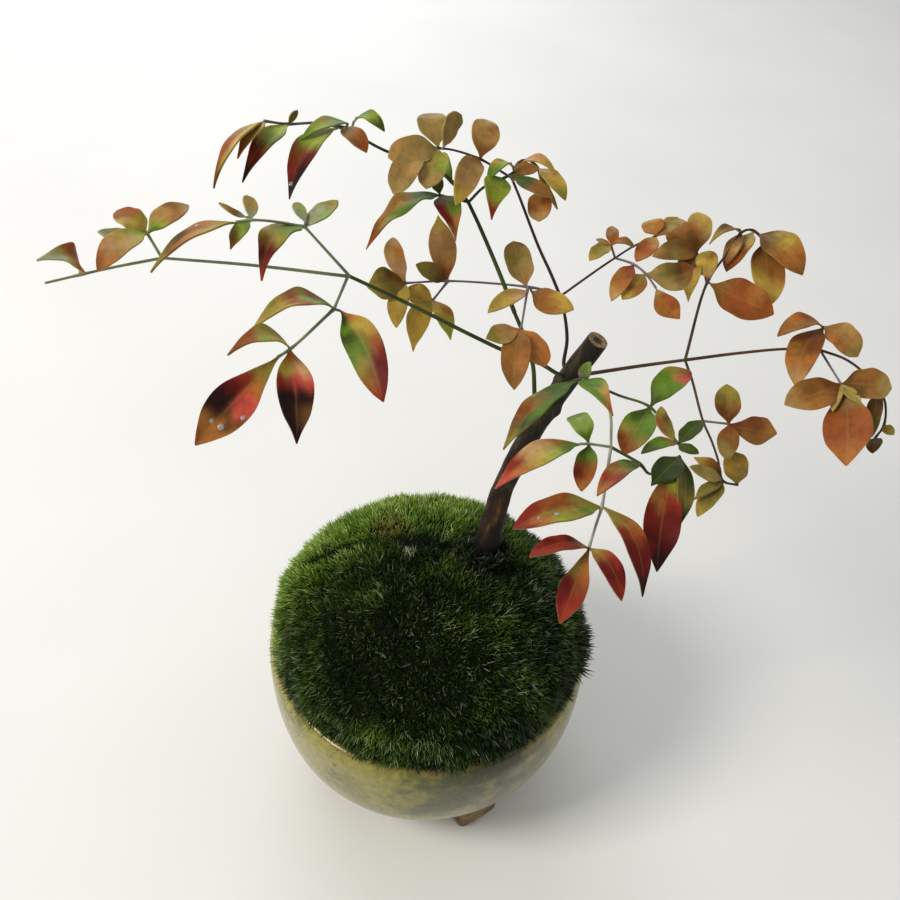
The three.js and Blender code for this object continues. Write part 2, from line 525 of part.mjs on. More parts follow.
// Soil ball and the moss skin over it.
const DOME_SHOULDER = 60;
const DOME_ROUNDNESS = 1.9;
function dome(radius, top, edgeRadius, edgeHeight, rings) {
  const points = [[0, edgeHeight], [edgeRadius, edgeHeight]];
  for (let i = 0; i < rings; i++) {
    const turn = (Math.PI / 2) * (i / rings);
    const power = 2 / DOME_ROUNDNESS;
    points.push([radius * Math.pow(Math.cos(turn), power), DOME_SHOULDER + (top - DOME_SHOULDER) * Math.pow(Math.sin(turn), power)]);
  }
  points.push([0, top]);
  return points;
}
const MOSS_EDGE = RIM_HEIGHT + MOSS_ABOVE_RIM;
const soilRadius = MOSS_RADIUS - MOSS_THICKNESS - FIT;
const soilDome = dome(soilRadius, MOSS_TOP - MOSS_THICKNESS - FIT, mouth - SOIL_FIT, RIM_HEIGHT, MOSS_RINGS - 2).slice(2);
const lowSoil = swell(insideRadius - SOIL_FIT, INNER_BASE_RADIUS - SOIL_FIT, BELLY_HEIGHT, BASE_HEIGHT + FLOOR_THICKNESS + SOIL_FIT);
const soilProfile = [[0, lowSoil[0][1]], ...lowSoil, [mouth - SOIL_FIT, RIM_HEIGHT - RIM_ROLL], [mouth - SOIL_FIT, RIM_HEIGHT + RIM_ROLL], ...soilDome];
const ballPlain = lathe(soilProfile, SOIL_SEGMENTS);
const soil = ballPlain.subtract(trunkRoom);

const lumpy = new THREE.LatheGeometry(
  dome(MOSS_RADIUS, MOSS_TOP, RIM_RADIUS - MOSS_INSET, MOSS_EDGE, MOSS_RINGS).map(([x, y]) => new THREE.Vector2(x, y)),
  MOSS_SEGMENTS,
);
lumpy.rotateX(Math.PI / 2);
const mossPlace = lumpy.attributes.position;
for (let i = 0; i < mossPlace.count; i++) {
  const x = mossPlace.getX(i);
  const y = mossPlace.getY(i);
  const z = mossPlace.getZ(i);
  const reach = Math.hypot(x, y);
  if (z < MOSS_EDGE + 1 || reach < 1) continue;
  const turn = Math.atan2(y, x);
  const down = (z - MOSS_EDGE) / (MOSS_TOP - MOSS_EDGE);
  const lump = MOSS_LUMP * Math.sin(MOSS_LUMPS_ROUND * turn + 3 * down) * Math.sin(MOSS_LUMPS_DOWN * down + 1.3 * Math.sin(3 * turn));
  mossPlace.setXYZ(i, x + (lump * x) / reach, y + (lump * y) / reach, z + lump * down * 0.5);
}
let mossOuter = solid(lumpy);
if (mossOuter.volume() < 0) {
  const index = lumpy.index.array;
  for (let i = 0; i < index.length; i += 3) [index[i + 1], index[i + 2]] = [index[i + 2], index[i + 1]];
  mossOuter = solid(lumpy);
}
const mossHollow = dome(MOSS_RADIUS - MOSS_THICKNESS, MOSS_TOP - MOSS_THICKNESS, mouth, MOSS_EDGE - MOSS_BELOW, MOSS_RINGS - 2);
const moss = mossOuter.subtract(lathe(mossHollow, SOIL_SEGMENTS)).subtract(stem(2 * FIT));

const plant = new THREE.Group();
plant.add(
  meshOf("bowl", bowl, 0x9b9a78, 0.25),
  meshOf("soil_ball", soil, 0x2b2018, 0.95),
  meshOf("moss", moss, 0x2f4a1c, 0.95),
  meshOf("trunk", trunk, 0x4a3524, 0.8),
  meshOf("left_frond", seated(frond(LEFT_FROND), trunkRoom), 0x8a5a2c, 0.45),
  meshOf("upper_frond", seated(frond(UPPER_FROND), trunkRoom), 0x55702a, 0.45),
  meshOf("middle_frond", seated(frond(MIDDLE_FROND), trunkRoom), 0x93703a, 0.45),
  meshOf("right_frond", seated(frond(RIGHT_FROND), trunkRoom), 0x96602f, 0.45),
  meshOf("front_frond", seated(frond(FRONT_FROND), trunkRoom), 0x4f6a22, 0.45),
);

// The origin is put under the middle of the whole plant's box, on the table.
const box = new THREE.Box3().setFromObject(plant);
const middle = box.getCenter(new THREE.Vector3());
for (const mesh of plant.children) mesh.geometry.translate(-middle.x, -middle.y, -box.min.z);

export default plant;
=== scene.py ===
# %% [markdown]
# # A moss ball plant in a glazed bowl
# The real thing is a dwarf nandina with autumn leaves, growing from a ball of soil wrapped in living moss,
# which sits in a small three-footed bowl. The pieces here replace rough solids of the same things, in metres.
# The first cell loads those solids, so that the finished pieces keep to the same frame and the same size.

# %% Load the frame
import itertools
import math
import random

import bmesh
import bpy
from mathutils import Matrix, Vector, noise
from mathutils.bvhtree import BVHTree
from mathutils.geometry import intersect_point_line


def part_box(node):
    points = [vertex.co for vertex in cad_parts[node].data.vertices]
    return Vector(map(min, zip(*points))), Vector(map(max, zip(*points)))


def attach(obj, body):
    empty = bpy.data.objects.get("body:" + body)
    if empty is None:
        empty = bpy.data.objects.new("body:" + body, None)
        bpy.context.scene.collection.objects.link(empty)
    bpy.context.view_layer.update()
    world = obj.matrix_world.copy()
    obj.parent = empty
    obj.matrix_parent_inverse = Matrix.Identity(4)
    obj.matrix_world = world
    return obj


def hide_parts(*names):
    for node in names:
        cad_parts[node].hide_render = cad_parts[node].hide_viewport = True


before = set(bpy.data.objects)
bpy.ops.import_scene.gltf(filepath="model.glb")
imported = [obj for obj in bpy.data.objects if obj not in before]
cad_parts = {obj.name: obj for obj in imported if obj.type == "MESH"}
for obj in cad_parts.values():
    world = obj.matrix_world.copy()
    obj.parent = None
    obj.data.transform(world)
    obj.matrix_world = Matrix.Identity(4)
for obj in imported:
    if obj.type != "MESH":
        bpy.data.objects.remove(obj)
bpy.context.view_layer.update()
bowl_low, bowl_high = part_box("bowl")
AXIS = Vector(((bowl_low.x + bowl_high.x) / 2, (bowl_low.y + bowl_high.y) / 2, 0))
MM = 0.001

# %% [markdown]
# ## The camera
# The picture looks down on the plant by 43 degrees and leans over by a few degrees. The leaves were placed by
# reading where they show in that picture, so one function turns a picture point and its depth into a place.

# %% Camera and picture points
FOCAL = 960
PICTURE_SIZE = 900
SENSOR_WIDTH = 36
PITCH = math.radians(43)
ROLL = math.radians(5.5)
EYE = Vector((1.1, -167.5, 282.5)) * MM + AXIS
AHEAD = Vector((0, math.cos(PITCH), -math.sin(PITCH)))
LEVEL_UP = Vector((0, math.sin(PITCH), math.cos(PITCH)))
LEVEL_RIGHT = Vector((1, 0, 0))
RIGHT = LEVEL_RIGHT * math.cos(ROLL) + LEVEL_UP * math.sin(ROLL)
UP = LEVEL_UP * math.cos(ROLL) - LEVEL_RIGHT * math.sin(ROLL)


def seen(point):
    """The place of a picture point: across, down, and its depth in millimetres."""
    across, down, depth = point
    middle = PICTURE_SIZE / 2
    ray = AHEAD + RIGHT * (across - middle) / FOCAL - UP * (down - middle) / FOCAL
    return EYE + ray * depth * MM


camera_data = bpy.data.cameras.new("camera")
camera_data.sensor_width = SENSOR_WIDTH
camera_data.lens = SENSOR_WIDTH * FOCAL / PICTURE_SIZE
camera_data.clip_start = 0.01
camera = bpy.data.objects.new("camera", camera_data)
camera.matrix_world = Matrix.Translation(EYE) @ Matrix((RIGHT, UP, -AHEAD)).transposed().to_4x4()
bpy.context.scene.collection.objects.link(camera)
bpy.context.scene.camera = camera
print("lens", round(camera_data.lens, 1), "mm, eye", [round(v / MM) for v in EYE])

# %% [markdown]
# ## Helpers for finishes and pieces
# A finish is a small tree of shader nodes. One function adds a node with its settings and links, and another
# turns a colour, an sRGB hex value, into the linear light that the shader works in.

# %% Finishes
def linear(hex_colour):
    """An sRGB hex colour as linear light with full alpha."""
    parts = [int(hex_colour[i : i + 2], 16) / 255 for i in (1, 3, 5)]
    light = [c / 12.92 if c <= 0.04045 else ((c + 0.055) / 1.055) ** 2.4 for c in parts]
    return (*light, 1.0)


def add(tree, kind, inputs=None, stops=None, **settings):
    """Adds one shader node. An input is a value, an output, or a node for its first live output."""
    made = tree.nodes.new("ShaderNode" + kind)
    for name, value in settings.items():
        setattr(made, name, value)
    for name, value in (inputs or {}).items():
        if isinstance(value, bpy.types.Node):
            value = next(output for output in value.outputs if output.enabled)
        if isinstance(value, bpy.types.NodeSocket):
            tree.links.new(value, made.inputs[name])
        else:
            made.inputs[name].default_value = value
    if stops:
        places = made.color_ramp.elements
        while len(places) < len(stops):
            places.new(1.0)
        for place, (at, colour) in zip(places, stops):
            place.position = at
            place.color = colour
    return made


def new_finish(name):
    """An empty finish and its node tree."""
    material = bpy.data.materials.new(name)
    material.use_nodes = True
    material.node_tree.nodes.clear()
    return material, material.node_tree


MIX_FACTOR, MIX_A, MIX_B = 0, 6, 7
WHITE = (1, 1, 1, 1)
BLACK = (0, 0, 0, 1)


# %% Pieces
SHARP_ANGLE = math.radians(50)


def to_mesh(name, bm):
    """Turns a bmesh into a mesh and frees it."""
    mesh = bpy.data.meshes.new(name)
    bm.to_mesh(mesh)
    bm.free()
    return mesh


def pour(mesh, into):
    """Adds a mesh to a bmesh and removes the mesh."""
    into.from_mesh(mesh)
    bpy.data.meshes.remove(mesh)


def to_object(name, bm, material):
    """Makes an object of a bmesh in the scene, with one material."""
    mesh = to_mesh(name, bm)
    mesh.materials.append(material)
    made = bpy.data.objects.new(name, mesh)
    bpy.context.scene.collection.objects.link(made)
    return made


def finished(name, bm, material, node):
    """Makes a piece, smooth but for sharp corners, that rides on the root body and replaces a rough node."""
    for face in bm.faces:
        face.smooth = True
    for edge in bm.edges:
        if edge.calc_face_angle(0) > SHARP_ANGLE:
            edge.smooth = False
    made = to_object(name, bm, material)
    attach(made, "root")
    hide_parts(node)
    print(name, len(made.data.polygons), "faces")


# %% [markdown]
# ## The bowl
# A thrown stoneware bowl under an ash glaze: a swelling body, a soft lip, and three blocks of bare clay as
# feet. A thrown bowl is round, so its half section is drawn once and spun about its axis. The curve of its
# belly is a squarish quarter ellipse, which is fuller at the bottom than a circle, as the picture shows.

# %% Bowl section
RIM_RADIUS = 45
RIM_HEIGHT = 54
BELLY_RADIUS = 45.7
BELLY_HEIGHT = 48
BASE_RADIUS = 18
BASE_HEIGHT = 2
WALL = 4
FLOOR_THICKNESS = 6
SHOULDER_DROP = 3
SHOULDER_SWELL = 0.5
INNER_BASE_RADIUS = 14
BOWL_ROUNDNESS = 2.6
BASE_RING_RADIUS = 12
OUTER_STEPS = 22
INNER_STEPS = 14
LIP_STEPS = 8


def swell(radius, start_radius, bottom, steps):
    """Points of the belly's curve, from the foot ring at start_radius out to the widest place."""
    power = 2 / BOWL_ROUNDNESS
    start = math.asin((start_radius / radius) ** (1 / power))
    points = []
    for i in range(steps + 1):
        turn = start + (math.pi / 2 - start) * i / steps
        rise = (BELLY_HEIGHT - bottom) * max(0, math.cos(turn)) ** power
        points.append((radius * math.sin(turn) ** power, BELLY_HEIGHT - rise))
    return points


def rounded_lip(radius, height, roll, steps):
    """Points over a half-round lip, from its outer side to its inner side."""
    points = []
    for i in range(steps + 1):
        turn = math.pi * i / steps
        points.append((radius + roll * math.cos(turn), height - roll + roll * math.sin(turn)))
    return points


outer = swell(BELLY_RADIUS, BASE_RADIUS, BASE_HEIGHT, OUTER_STEPS)
inner = swell(BELLY_RADIUS - WALL, INNER_BASE_RADIUS, BASE_HEIGHT + FLOOR_THICKNESS, INNER_STEPS)
shoulder = [(RIM_RADIUS + SHOULDER_SWELL, RIM_HEIGHT - SHOULDER_DROP)]
lip = rounded_lip(RIM_RADIUS - WALL / 2, RIM_HEIGHT, WALL / 2, LIP_STEPS)
base = [(0, outer[0][1]), (BASE_RING_RADIUS, outer[0][1])]
bowl_section = base + outer + shoulder + lip + inner[::-1] + [(0, inner[0][1])]
print(len(bowl_section), "points in the bowl's half section")

# %% [markdown]
# The section is a chain of edges, spun in one full turn whose last ring is merged with the first. The points
# on the axis are then merged into poles, and a very low noise makes the wall as uneven as a thrown one.

# %% Bowl body
BOWL_TURNS = 120
MERGE_DISTANCE = 1e-6
HAND_WOBBLE = 0.35
WOBBLE_SCALE = 38
WOBBLE_FROM_RADIUS = 20


def spun(section, turns):
    """A closed body of revolution about the bowl's axis, from its half section in millimetres."""
    bm = bmesh.new()
    chain = [bm.verts.new((r * MM, 0, z * MM)) for r, z in section]
    edges = [bm.edges.new(pair) for pair in zip(chain, chain[1:])]
    bmesh.ops.spin(
        bm, geom=chain + edges, cent=(0, 0, 0), axis=(0, 0, 1), angle=2 * math.pi, steps=turns,
        use_merge=True,
    )
    bmesh.ops.remove_doubles(bm, verts=bm.verts, dist=MERGE_DISTANCE)
    bmesh.ops.recalc_face_normals(bm, faces=bm.faces)
    bmesh.ops.translate(bm, verts=bm.verts, vec=AXIS)
    return bm


bowl_mesh = spun(bowl_section, BOWL_TURNS)
for vert in bowl_mesh.verts:
    out = vert.co - AXIS
    out.z = 0
    if out.length > WOBBLE_FROM_RADIUS * MM:
        vert.co += out.normalized() * noise.noise(vert.co * WOBBLE_SCALE) * HAND_WOBBLE * MM

# %% [markdown]
# ## The ash glaze
# Wood-ash glaze on stoneware is a thin glass coat, grey-green where it is thick, straw-coloured where it is
# thin, with clouds of blue-grey and fine iron specks that melted up from the clay. Its sheen comes from a low
# roughness and a coat, and its colour from noises of about 25, 10, 2 and 1.5 mm. Two of its clouds stand
# where the picture shows them.

# %% Glaze finish
GLAZE_PALE = linear("#8d863e")
GLAZE_OLIVE = linear("#766e27")
GLAZE_BLUE = linear("#242812")
GLAZE_GREY = linear("#4c4e26")
GLAZE_AMBER = linear("#6e4e1a")
GLAZE_SPECK = linear("#2a2416")
BLUE_CLOUD = seen((508, 775, 250))
GREY_CLOUD = seen((438, 800, 255))


def ash_glaze():
    """Ash-glazed stoneware: mottled olive, straw and blue-grey glass with specks, amber at the very lip."""
    material, tree = new_finish("ash glaze on stoneware")
    place = add(tree, "TexCoord").outputs["Object"]
    clouds = add(tree, "TexNoise", {"Vector": place, "Scale": 40, "Detail": 5, "Roughness": 0.6})
    patches = add(tree, "TexNoise", {"Vector": place, "Scale": 95, "Detail": 4, "Roughness": 0.65})
    mottle = add(tree, "TexNoise", {"Vector": place, "Scale": 520, "Detail": 3, "Roughness": 0.7})
    grains = add(tree, "TexVoronoi", {"Vector": place, "Scale": 640, "Randomness": 1})
    spread = add(tree, "TexNoise", {"Vector": place, "Scale": 150, "Detail": 2})
    colour = add(
        tree, "ValToRGB", {"Fac": clouds}, [(0.36, GLAZE_OLIVE), (0.5, GLAZE_PALE), (0.66, GLAZE_OLIVE)]
    )
    for middle, reach, tone in ((BLUE_CLOUD, 0.029, GLAZE_BLUE), (GREY_CLOUD, 0.018, GLAZE_GREY)):
        away = add(tree, "VectorMath", {0: place, 1: middle}, operation="DISTANCE")
        near = add(
            tree, "MapRange", {"Value": away, "From Min": 0, "From Max": reach, "To Min": 0.42, "To Max": 0}
        )
        cloudy = add(tree, "Math", {0: near, 1: patches}, operation="ADD")
        where = add(
            tree, "MapRange", {"Value": cloudy, "From Min": 0.58, "From Max": 0.8, "To Min": 0, "To Max": 0.9}
        )
        colour = add(tree, "Mix", {MIX_FACTOR: where, MIX_A: colour, MIX_B: tone}, data_type="RGBA")
    grainy = add(
        tree, "ValToRGB", {"Fac": mottle}, [(0.32, (0.66, 0.63, 0.55, 1)), (0.66, (1.22, 1.22, 1.2, 1))]
    )
    mottled = add(
        tree, "Mix", {MIX_FACTOR: 0.75, MIX_A: colour, MIX_B: grainy}, data_type="RGBA", blend_type="MULTIPLY"
    )
    height = add(tree, "SeparateXYZ", {"Vector": place}).outputs["Z"]
    uneven = add(tree, "Math", {0: spread, 1: 0.006}, operation="MULTIPLY")
    level = add(tree, "Math", {0: height, 1: uneven}, operation="ADD")
    near_lip = add(
        tree, "MapRange", {"Value": level, "From Min": 0.0562, "From Max": 0.0578, "To Min": 0, "To Max": 0.8}
    )
    lipped = add(tree, "Mix", {MIX_FACTOR: near_lip, MIX_A: mottled, MIX_B: GLAZE_AMBER}, data_type="RGBA")
    speck = add(tree, "ValToRGB", {"Fac": grains}, [(0.14, WHITE), (0.22, BLACK)])
    speck_where = add(tree, "ValToRGB", {"Fac": spread}, [(0.44, BLACK), (0.6, WHITE)])
    speck_both = add(tree, "Math", {0: speck, 1: speck_where}, operation="MULTIPLY")
    speckled = add(tree, "Mix", {MIX_FACTOR: speck_both, MIX_A: lipped, MIX_B: GLAZE_SPECK}, data_type="RGBA")
    ripple = add(tree, "Bump", {"Height": clouds, "Strength": 0.12, "Distance": 0.002})
    pitted = add(tree, "Bump", {"Height": mottle, "Strength": 0.1, "Distance": 0.0004, "Normal": ripple})
    shader = add(
        tree, "BsdfPrincipled",
        {"Base Color": speckled, "Roughness": 0.24, "IOR": 1.5, "Specular IOR Level": 0.4,
         "Coat Weight": 0.15, "Coat Roughness": 0.1, "Normal": pitted},
    )
    add(tree, "OutputMaterial", {"Surface": shader})
    return material


finished("bowl_body", bowl_mesh, ash_glaze(), "bowl")

# %% [markdown]
# ## The three feet
# The feet are short blocks pressed on under the belly and left unglazed. Each starts as a cube, is rounded by
# a bevel, narrows a little towards the ground, and is turned into its place on the foot circle.

# %% Feet
FOOT_CIRCLE = 30.5
FOOT_WIDTH = 15
FOOT_DEPTH = 11
FOOT_HEIGHT = 17
FOOT_ROUNDING = 2.4
FOOT_TAPER = 0.08
FOOT_DENTS = 0.25
FOOT_DENT_SCALE = 260
FOOT_COUNT = 3
FIRST_FOOT_ANGLE = -54.5


def foot_block(angle):
    """One rounded clay block, standing on the table under the belly."""
    bm = bmesh.new()
    bmesh.ops.create_cube(bm, size=1)
    bmesh.ops.scale(bm, vec=(FOOT_DEPTH * MM, FOOT_WIDTH * MM, FOOT_HEIGHT * MM), verts=bm.verts)
    bmesh.ops.translate(bm, vec=(0, 0, FOOT_HEIGHT * MM / 2), verts=bm.verts)
    bmesh.ops.bevel(
        bm, geom=bm.edges[:], offset=FOOT_ROUNDING * MM, segments=4, profile=0.5, affect="EDGES",
        material=-1,
    )
    bmesh.ops.subdivide_edges(bm, edges=bm.edges[:], cuts=2, use_grid_fill=True)
    for vert in bm.verts:
        narrow = 1 - FOOT_TAPER * (1 - vert.co.z / (FOOT_HEIGHT * MM))
        vert.co.x *= narrow
        vert.co.y *= narrow
        dent = noise.noise(vert.co * FOOT_DENT_SCALE + Vector((angle, 0, 0)))
        vert.co += Vector((1, 1, 0)) * dent * FOOT_DENTS * MM
    turn = Matrix.Rotation(math.radians(angle), 4, "Z")
    bmesh.ops.transform(bm, matrix=turn @ Matrix.Translation((FOOT_CIRCLE * MM, 0, 0)), verts=bm.verts)
    bmesh.ops.translate(bm, vec=AXIS, verts=bm.verts)
    return bm


def bare_clay():
    """Unglazed stoneware: dull toasted brown with sandy grains of about 0.5 mm."""
    material, tree = new_finish("unglazed fired stoneware")
    place = add(tree, "TexCoord").outputs["Object"]
    toast = add(tree, "TexNoise", {"Vector": place, "Scale": 240, "Detail": 4})
    sand = add(tree, "TexNoise", {"Vector": place, "Scale": 2000, "Detail": 2})
    colour = add(tree, "ValToRGB", {"Fac": toast}, [(0.35, linear("#4f3d28")), (0.65, linear("#87704c"))])
    grain = add(tree, "Bump", {"Height": sand, "Strength": 0.5, "Distance": 0.0004})
    shader = add(tree, "BsdfPrincipled", {"Base Color": colour, "Roughness": 0.85, "Normal": grain})
    add(tree, "OutputMaterial", {"Surface": shader})
    return material


clay = bare_clay()
for number in range(FOOT_COUNT):
    foot_angle = FIRST_FOOT_ANGLE + 360 / FOOT_COUNT * number
    finished("bowl_foot_" + str(number + 1), foot_block(foot_angle), clay, "bowl")

# %% [markdown]
# ## The soil ball
# Under the moss is a ball of clay soil. It shows only if the moss is taken off, so the rough solid keeps its
# mesh and gets the finish of moist, crumbly soil.

# %% Soil finish
def moist_soil():
    """Moist akadama and peat: near black crumbs of 1 to 3 mm."""
    material, tree = new_finish("moist clay and peat soil")
    place = add(tree, "TexCoord").outputs["Object"]
    crumbs = add(tree, "TexVoronoi", {"Vector": place, "Scale": 480})
    damp = add(tree, "TexNoise", {"Vector": place, "Scale": 160, "Detail": 5})
    colour = add(tree, "ValToRGB", {"Fac": damp}, [(0.35, linear("#1a120b")), (0.7, linear("#4a3723"))])
    bump = add(tree, "Bump", {"Height": crumbs, "Strength": 0.8, "Distance": 0.001})
    shader = add(tree, "BsdfPrincipled", {"Base Color": colour, "Roughness": 0.9, "Normal": bump})
    add(tree, "OutputMaterial", {"Surface": shader})
    return material


soil_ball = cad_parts["soil_ball"]
soil_ball.data.materials.clear()
soil_ball.data.materials.append(moist_soil())

# %% [markdown]
# ## The trunk
# The old stem leans to the right, bends twice, and ends in a flat sawn top. A ring of edges is extruded from
# place to place along a smooth curve, and its bark is then pushed in and out by stretched noise.

# %% Curves through picture points
PATH_SPACING = 0.9


def eased(start, leave, end, arrive, t):
    """The cubic curve between two values, which leaves and arrives with the given slopes."""
    return (
        start * (2 * t**3 - 3 * t**2 + 1) + leave * (t**3 - 2 * t**2 + t)
        + end * (3 * t**2 - 2 * t**3) + arrive * (t**3 - t**2)
    )


def smooth_path(points, spacing=PATH_SPACING):
    """Evenly close points on a centripetal curve through the given places."""
    if len(points) == 2:
        points = [points[0], (points[0] + points[1]) / 2, points[1]]
    chain = [points[0] * 2 - points[1]] + points + [points[-1] * 2 - points[-2]]
    path = []
    for a, b, c, d in zip(chain, chain[1:], chain[2:], chain[3:]):
        ta = math.sqrt((b - a).length)
        tb = math.sqrt((c - b).length)
        tc = math.sqrt((d - c).length)
        pull_b = ((b - a) / ta - (c - a) / (ta + tb) + (c - b) / tb) * tb
        pull_c = ((c - b) / tb - (d - b) / (tb + tc) + (d - c) / tc) * tb
        steps = max(2, round((c - b).length / (spacing * MM)))
        path += [eased(b, pull_b, c, pull_c, i / steps) for i in range(steps)]
    return path + [points[-1]]


def swept(bm, path, radii, sides, along_layer=None):
    """Extrudes a ring along a path, with a radius at each point, and closes both ends. Returns its rings."""
    ahead = (path[1] - path[0]).normalized()
    side = ahead.orthogonal().normalized()
    ring = bmesh.ops.create_circle(bm, segments=sides, radius=1)["verts"]
    edges = list({edge for vert in ring for edge in vert.link_edges})
    rings = []
    for number, (spot, radius) in enumerate(zip(path, radii)):
        if number:
            step = bmesh.ops.extrude_edge_only(bm, edges=edges)["geom"]
            fresh = [g for g in step if isinstance(g, bmesh.types.BMVert)]
            edges = [g for g in step if isinstance(g, bmesh.types.BMEdge) and set(g.verts) <= set(fresh)]
            order = {}
            for vert in fresh:
                other = next(e.other_vert(vert) for e in vert.link_edges if e.other_vert(vert) in rings[-1])
                order[rings[-1].index(other)] = vert
            ring = [order[i] for i in range(sides)]
        follow = path[min(number + 1, len(path) - 1)] - path[max(number - 1, 0)]
        follow.normalize()
        side = (side - follow * side.dot(follow)).normalized()
        cross = follow.cross(side)
        for i, vert in enumerate(ring):
            turn = 2 * math.pi * i / sides
            vert.co = spot + (side * math.cos(turn) + cross * math.sin(turn)) * radius
            if along_layer:
                vert[along_layer] = number / (len(path) - 1)
        rings.append(ring)
    bm.faces.new(rings[0])
    bm.faces.new(rings[-1])
    return rings


# %% Trunk shape
TRUNK_ROOT_RADIUS = 3.3
TRUNK_MIDDLE_RADIUS = 2.75
TRUNK_TOP_RADIUS = 2.45
TRUNK_SIDES = 40
TRUNK_FOOT = Vector((12.6, 2.5, 62)) * MM + AXIS
TRUNK_POINTS = [
    (493, 520, 256), (505.5, 482, 250), (526.5, 441, 241.5), (542.5, 416, 235), (565, 383, 227),
    (598, 340, 216.5),
]
BARK_RELIEF = 0.24
BARK_SCALE = Vector((420, 420, 130))
FINE_RIDGES = 2.3
BEND_RELIEF = 0.2
BEND_SCALE = 90
ROOT_SCALE = 260
FLARE_FROM = 93
FLARE_TO = 84
FLARE = 1.3
KNOBS = [((480, 531, 254), 2.2, 1.5), ((561, 413, 233), 1.6, 0.9), ((556, 376, 228), 1.1, 0.7)]
SAWN_INSETS = [(0.45, 0.12, 1), (1.3, -0.08, 1), (0.2, -0.15, 2)]

trunk_path = smooth_path([TRUNK_FOOT] + [seen(point) for point in TRUNK_POINTS])


def trunk_radius(at):
    """The stem's radius in millimetres from its root at 0 to its sawn top at 1."""
    if at < 0.5:
        return TRUNK_ROOT_RADIUS + (TRUNK_MIDDLE_RADIUS - TRUNK_ROOT_RADIUS) * at * 2
    return TRUNK_MIDDLE_RADIUS + (TRUNK_TOP_RADIUS - TRUNK_MIDDLE_RADIUS) * (at * 2 - 1)


trunk_mesh = bmesh.new()
cut_layer = trunk_mesh.verts.layers.float.new("sawn")
along_layer = trunk_mesh.verts.layers.float.new("along")
last = len(trunk_path) - 1
trunk_radii = [trunk_radius(i / last) * MM for i in range(last + 1)]
trunk_rings = swept(trunk_mesh, trunk_path, trunk_radii, TRUNK_SIDES, along_layer)
for number, ring in enumerate(trunk_rings[:-1]):
    for vert in ring:
        out = (vert.co - trunk_path[number]).normalized()
        stretched = vert.co * BARK_SCALE
        ridge = noise.noise(stretched) + 0.5 * noise.noise(stretched * FINE_RIDGES)
        bend = noise.noise(vert.co * BEND_SCALE)
        low = min(1, max(0, (FLARE_FROM * MM - vert.co.z) / ((FLARE_FROM - FLARE_TO) * MM)))
        root = FLARE * low * (1 + noise.noise(vert.co * ROOT_SCALE))
        knobs = 0
        for point, reach, height in KNOBS:
            knobs += height * math.exp(-(((vert.co - seen(point)).length / (reach * MM)) ** 2))
        vert.co += out * (ridge * BARK_RELIEF + bend * BEND_RELIEF + root + knobs) * MM
top_face = [face for face in trunk_mesh.faces if all(vert in trunk_rings[-1] for vert in face.verts)]
for inset, rise, part in SAWN_INSETS:
    bmesh.ops.inset_region(trunk_mesh, faces=top_face, thickness=inset * MM, depth=rise * MM)
    for face in top_face:
        for vert in face.verts:
            vert[cut_layer] = part
bmesh.ops.recalc_face_normals(trunk_mesh, faces=trunk_mesh.faces)
print("trunk is", round(sum((b - a).length for a, b in zip(trunk_path, trunk_path[1:])) / MM), "mm long")

# %% [markdown]
# ## Bark
# Young nandina bark is corky: dark grey-brown with red-brown strips below. The strips run along the stem, so
# the noise is stretched along it. The sawn top shows pale wood with a small brown pith. An attribute tells
# them apart: 0 on bark, 1 on wood and 2 on pith.

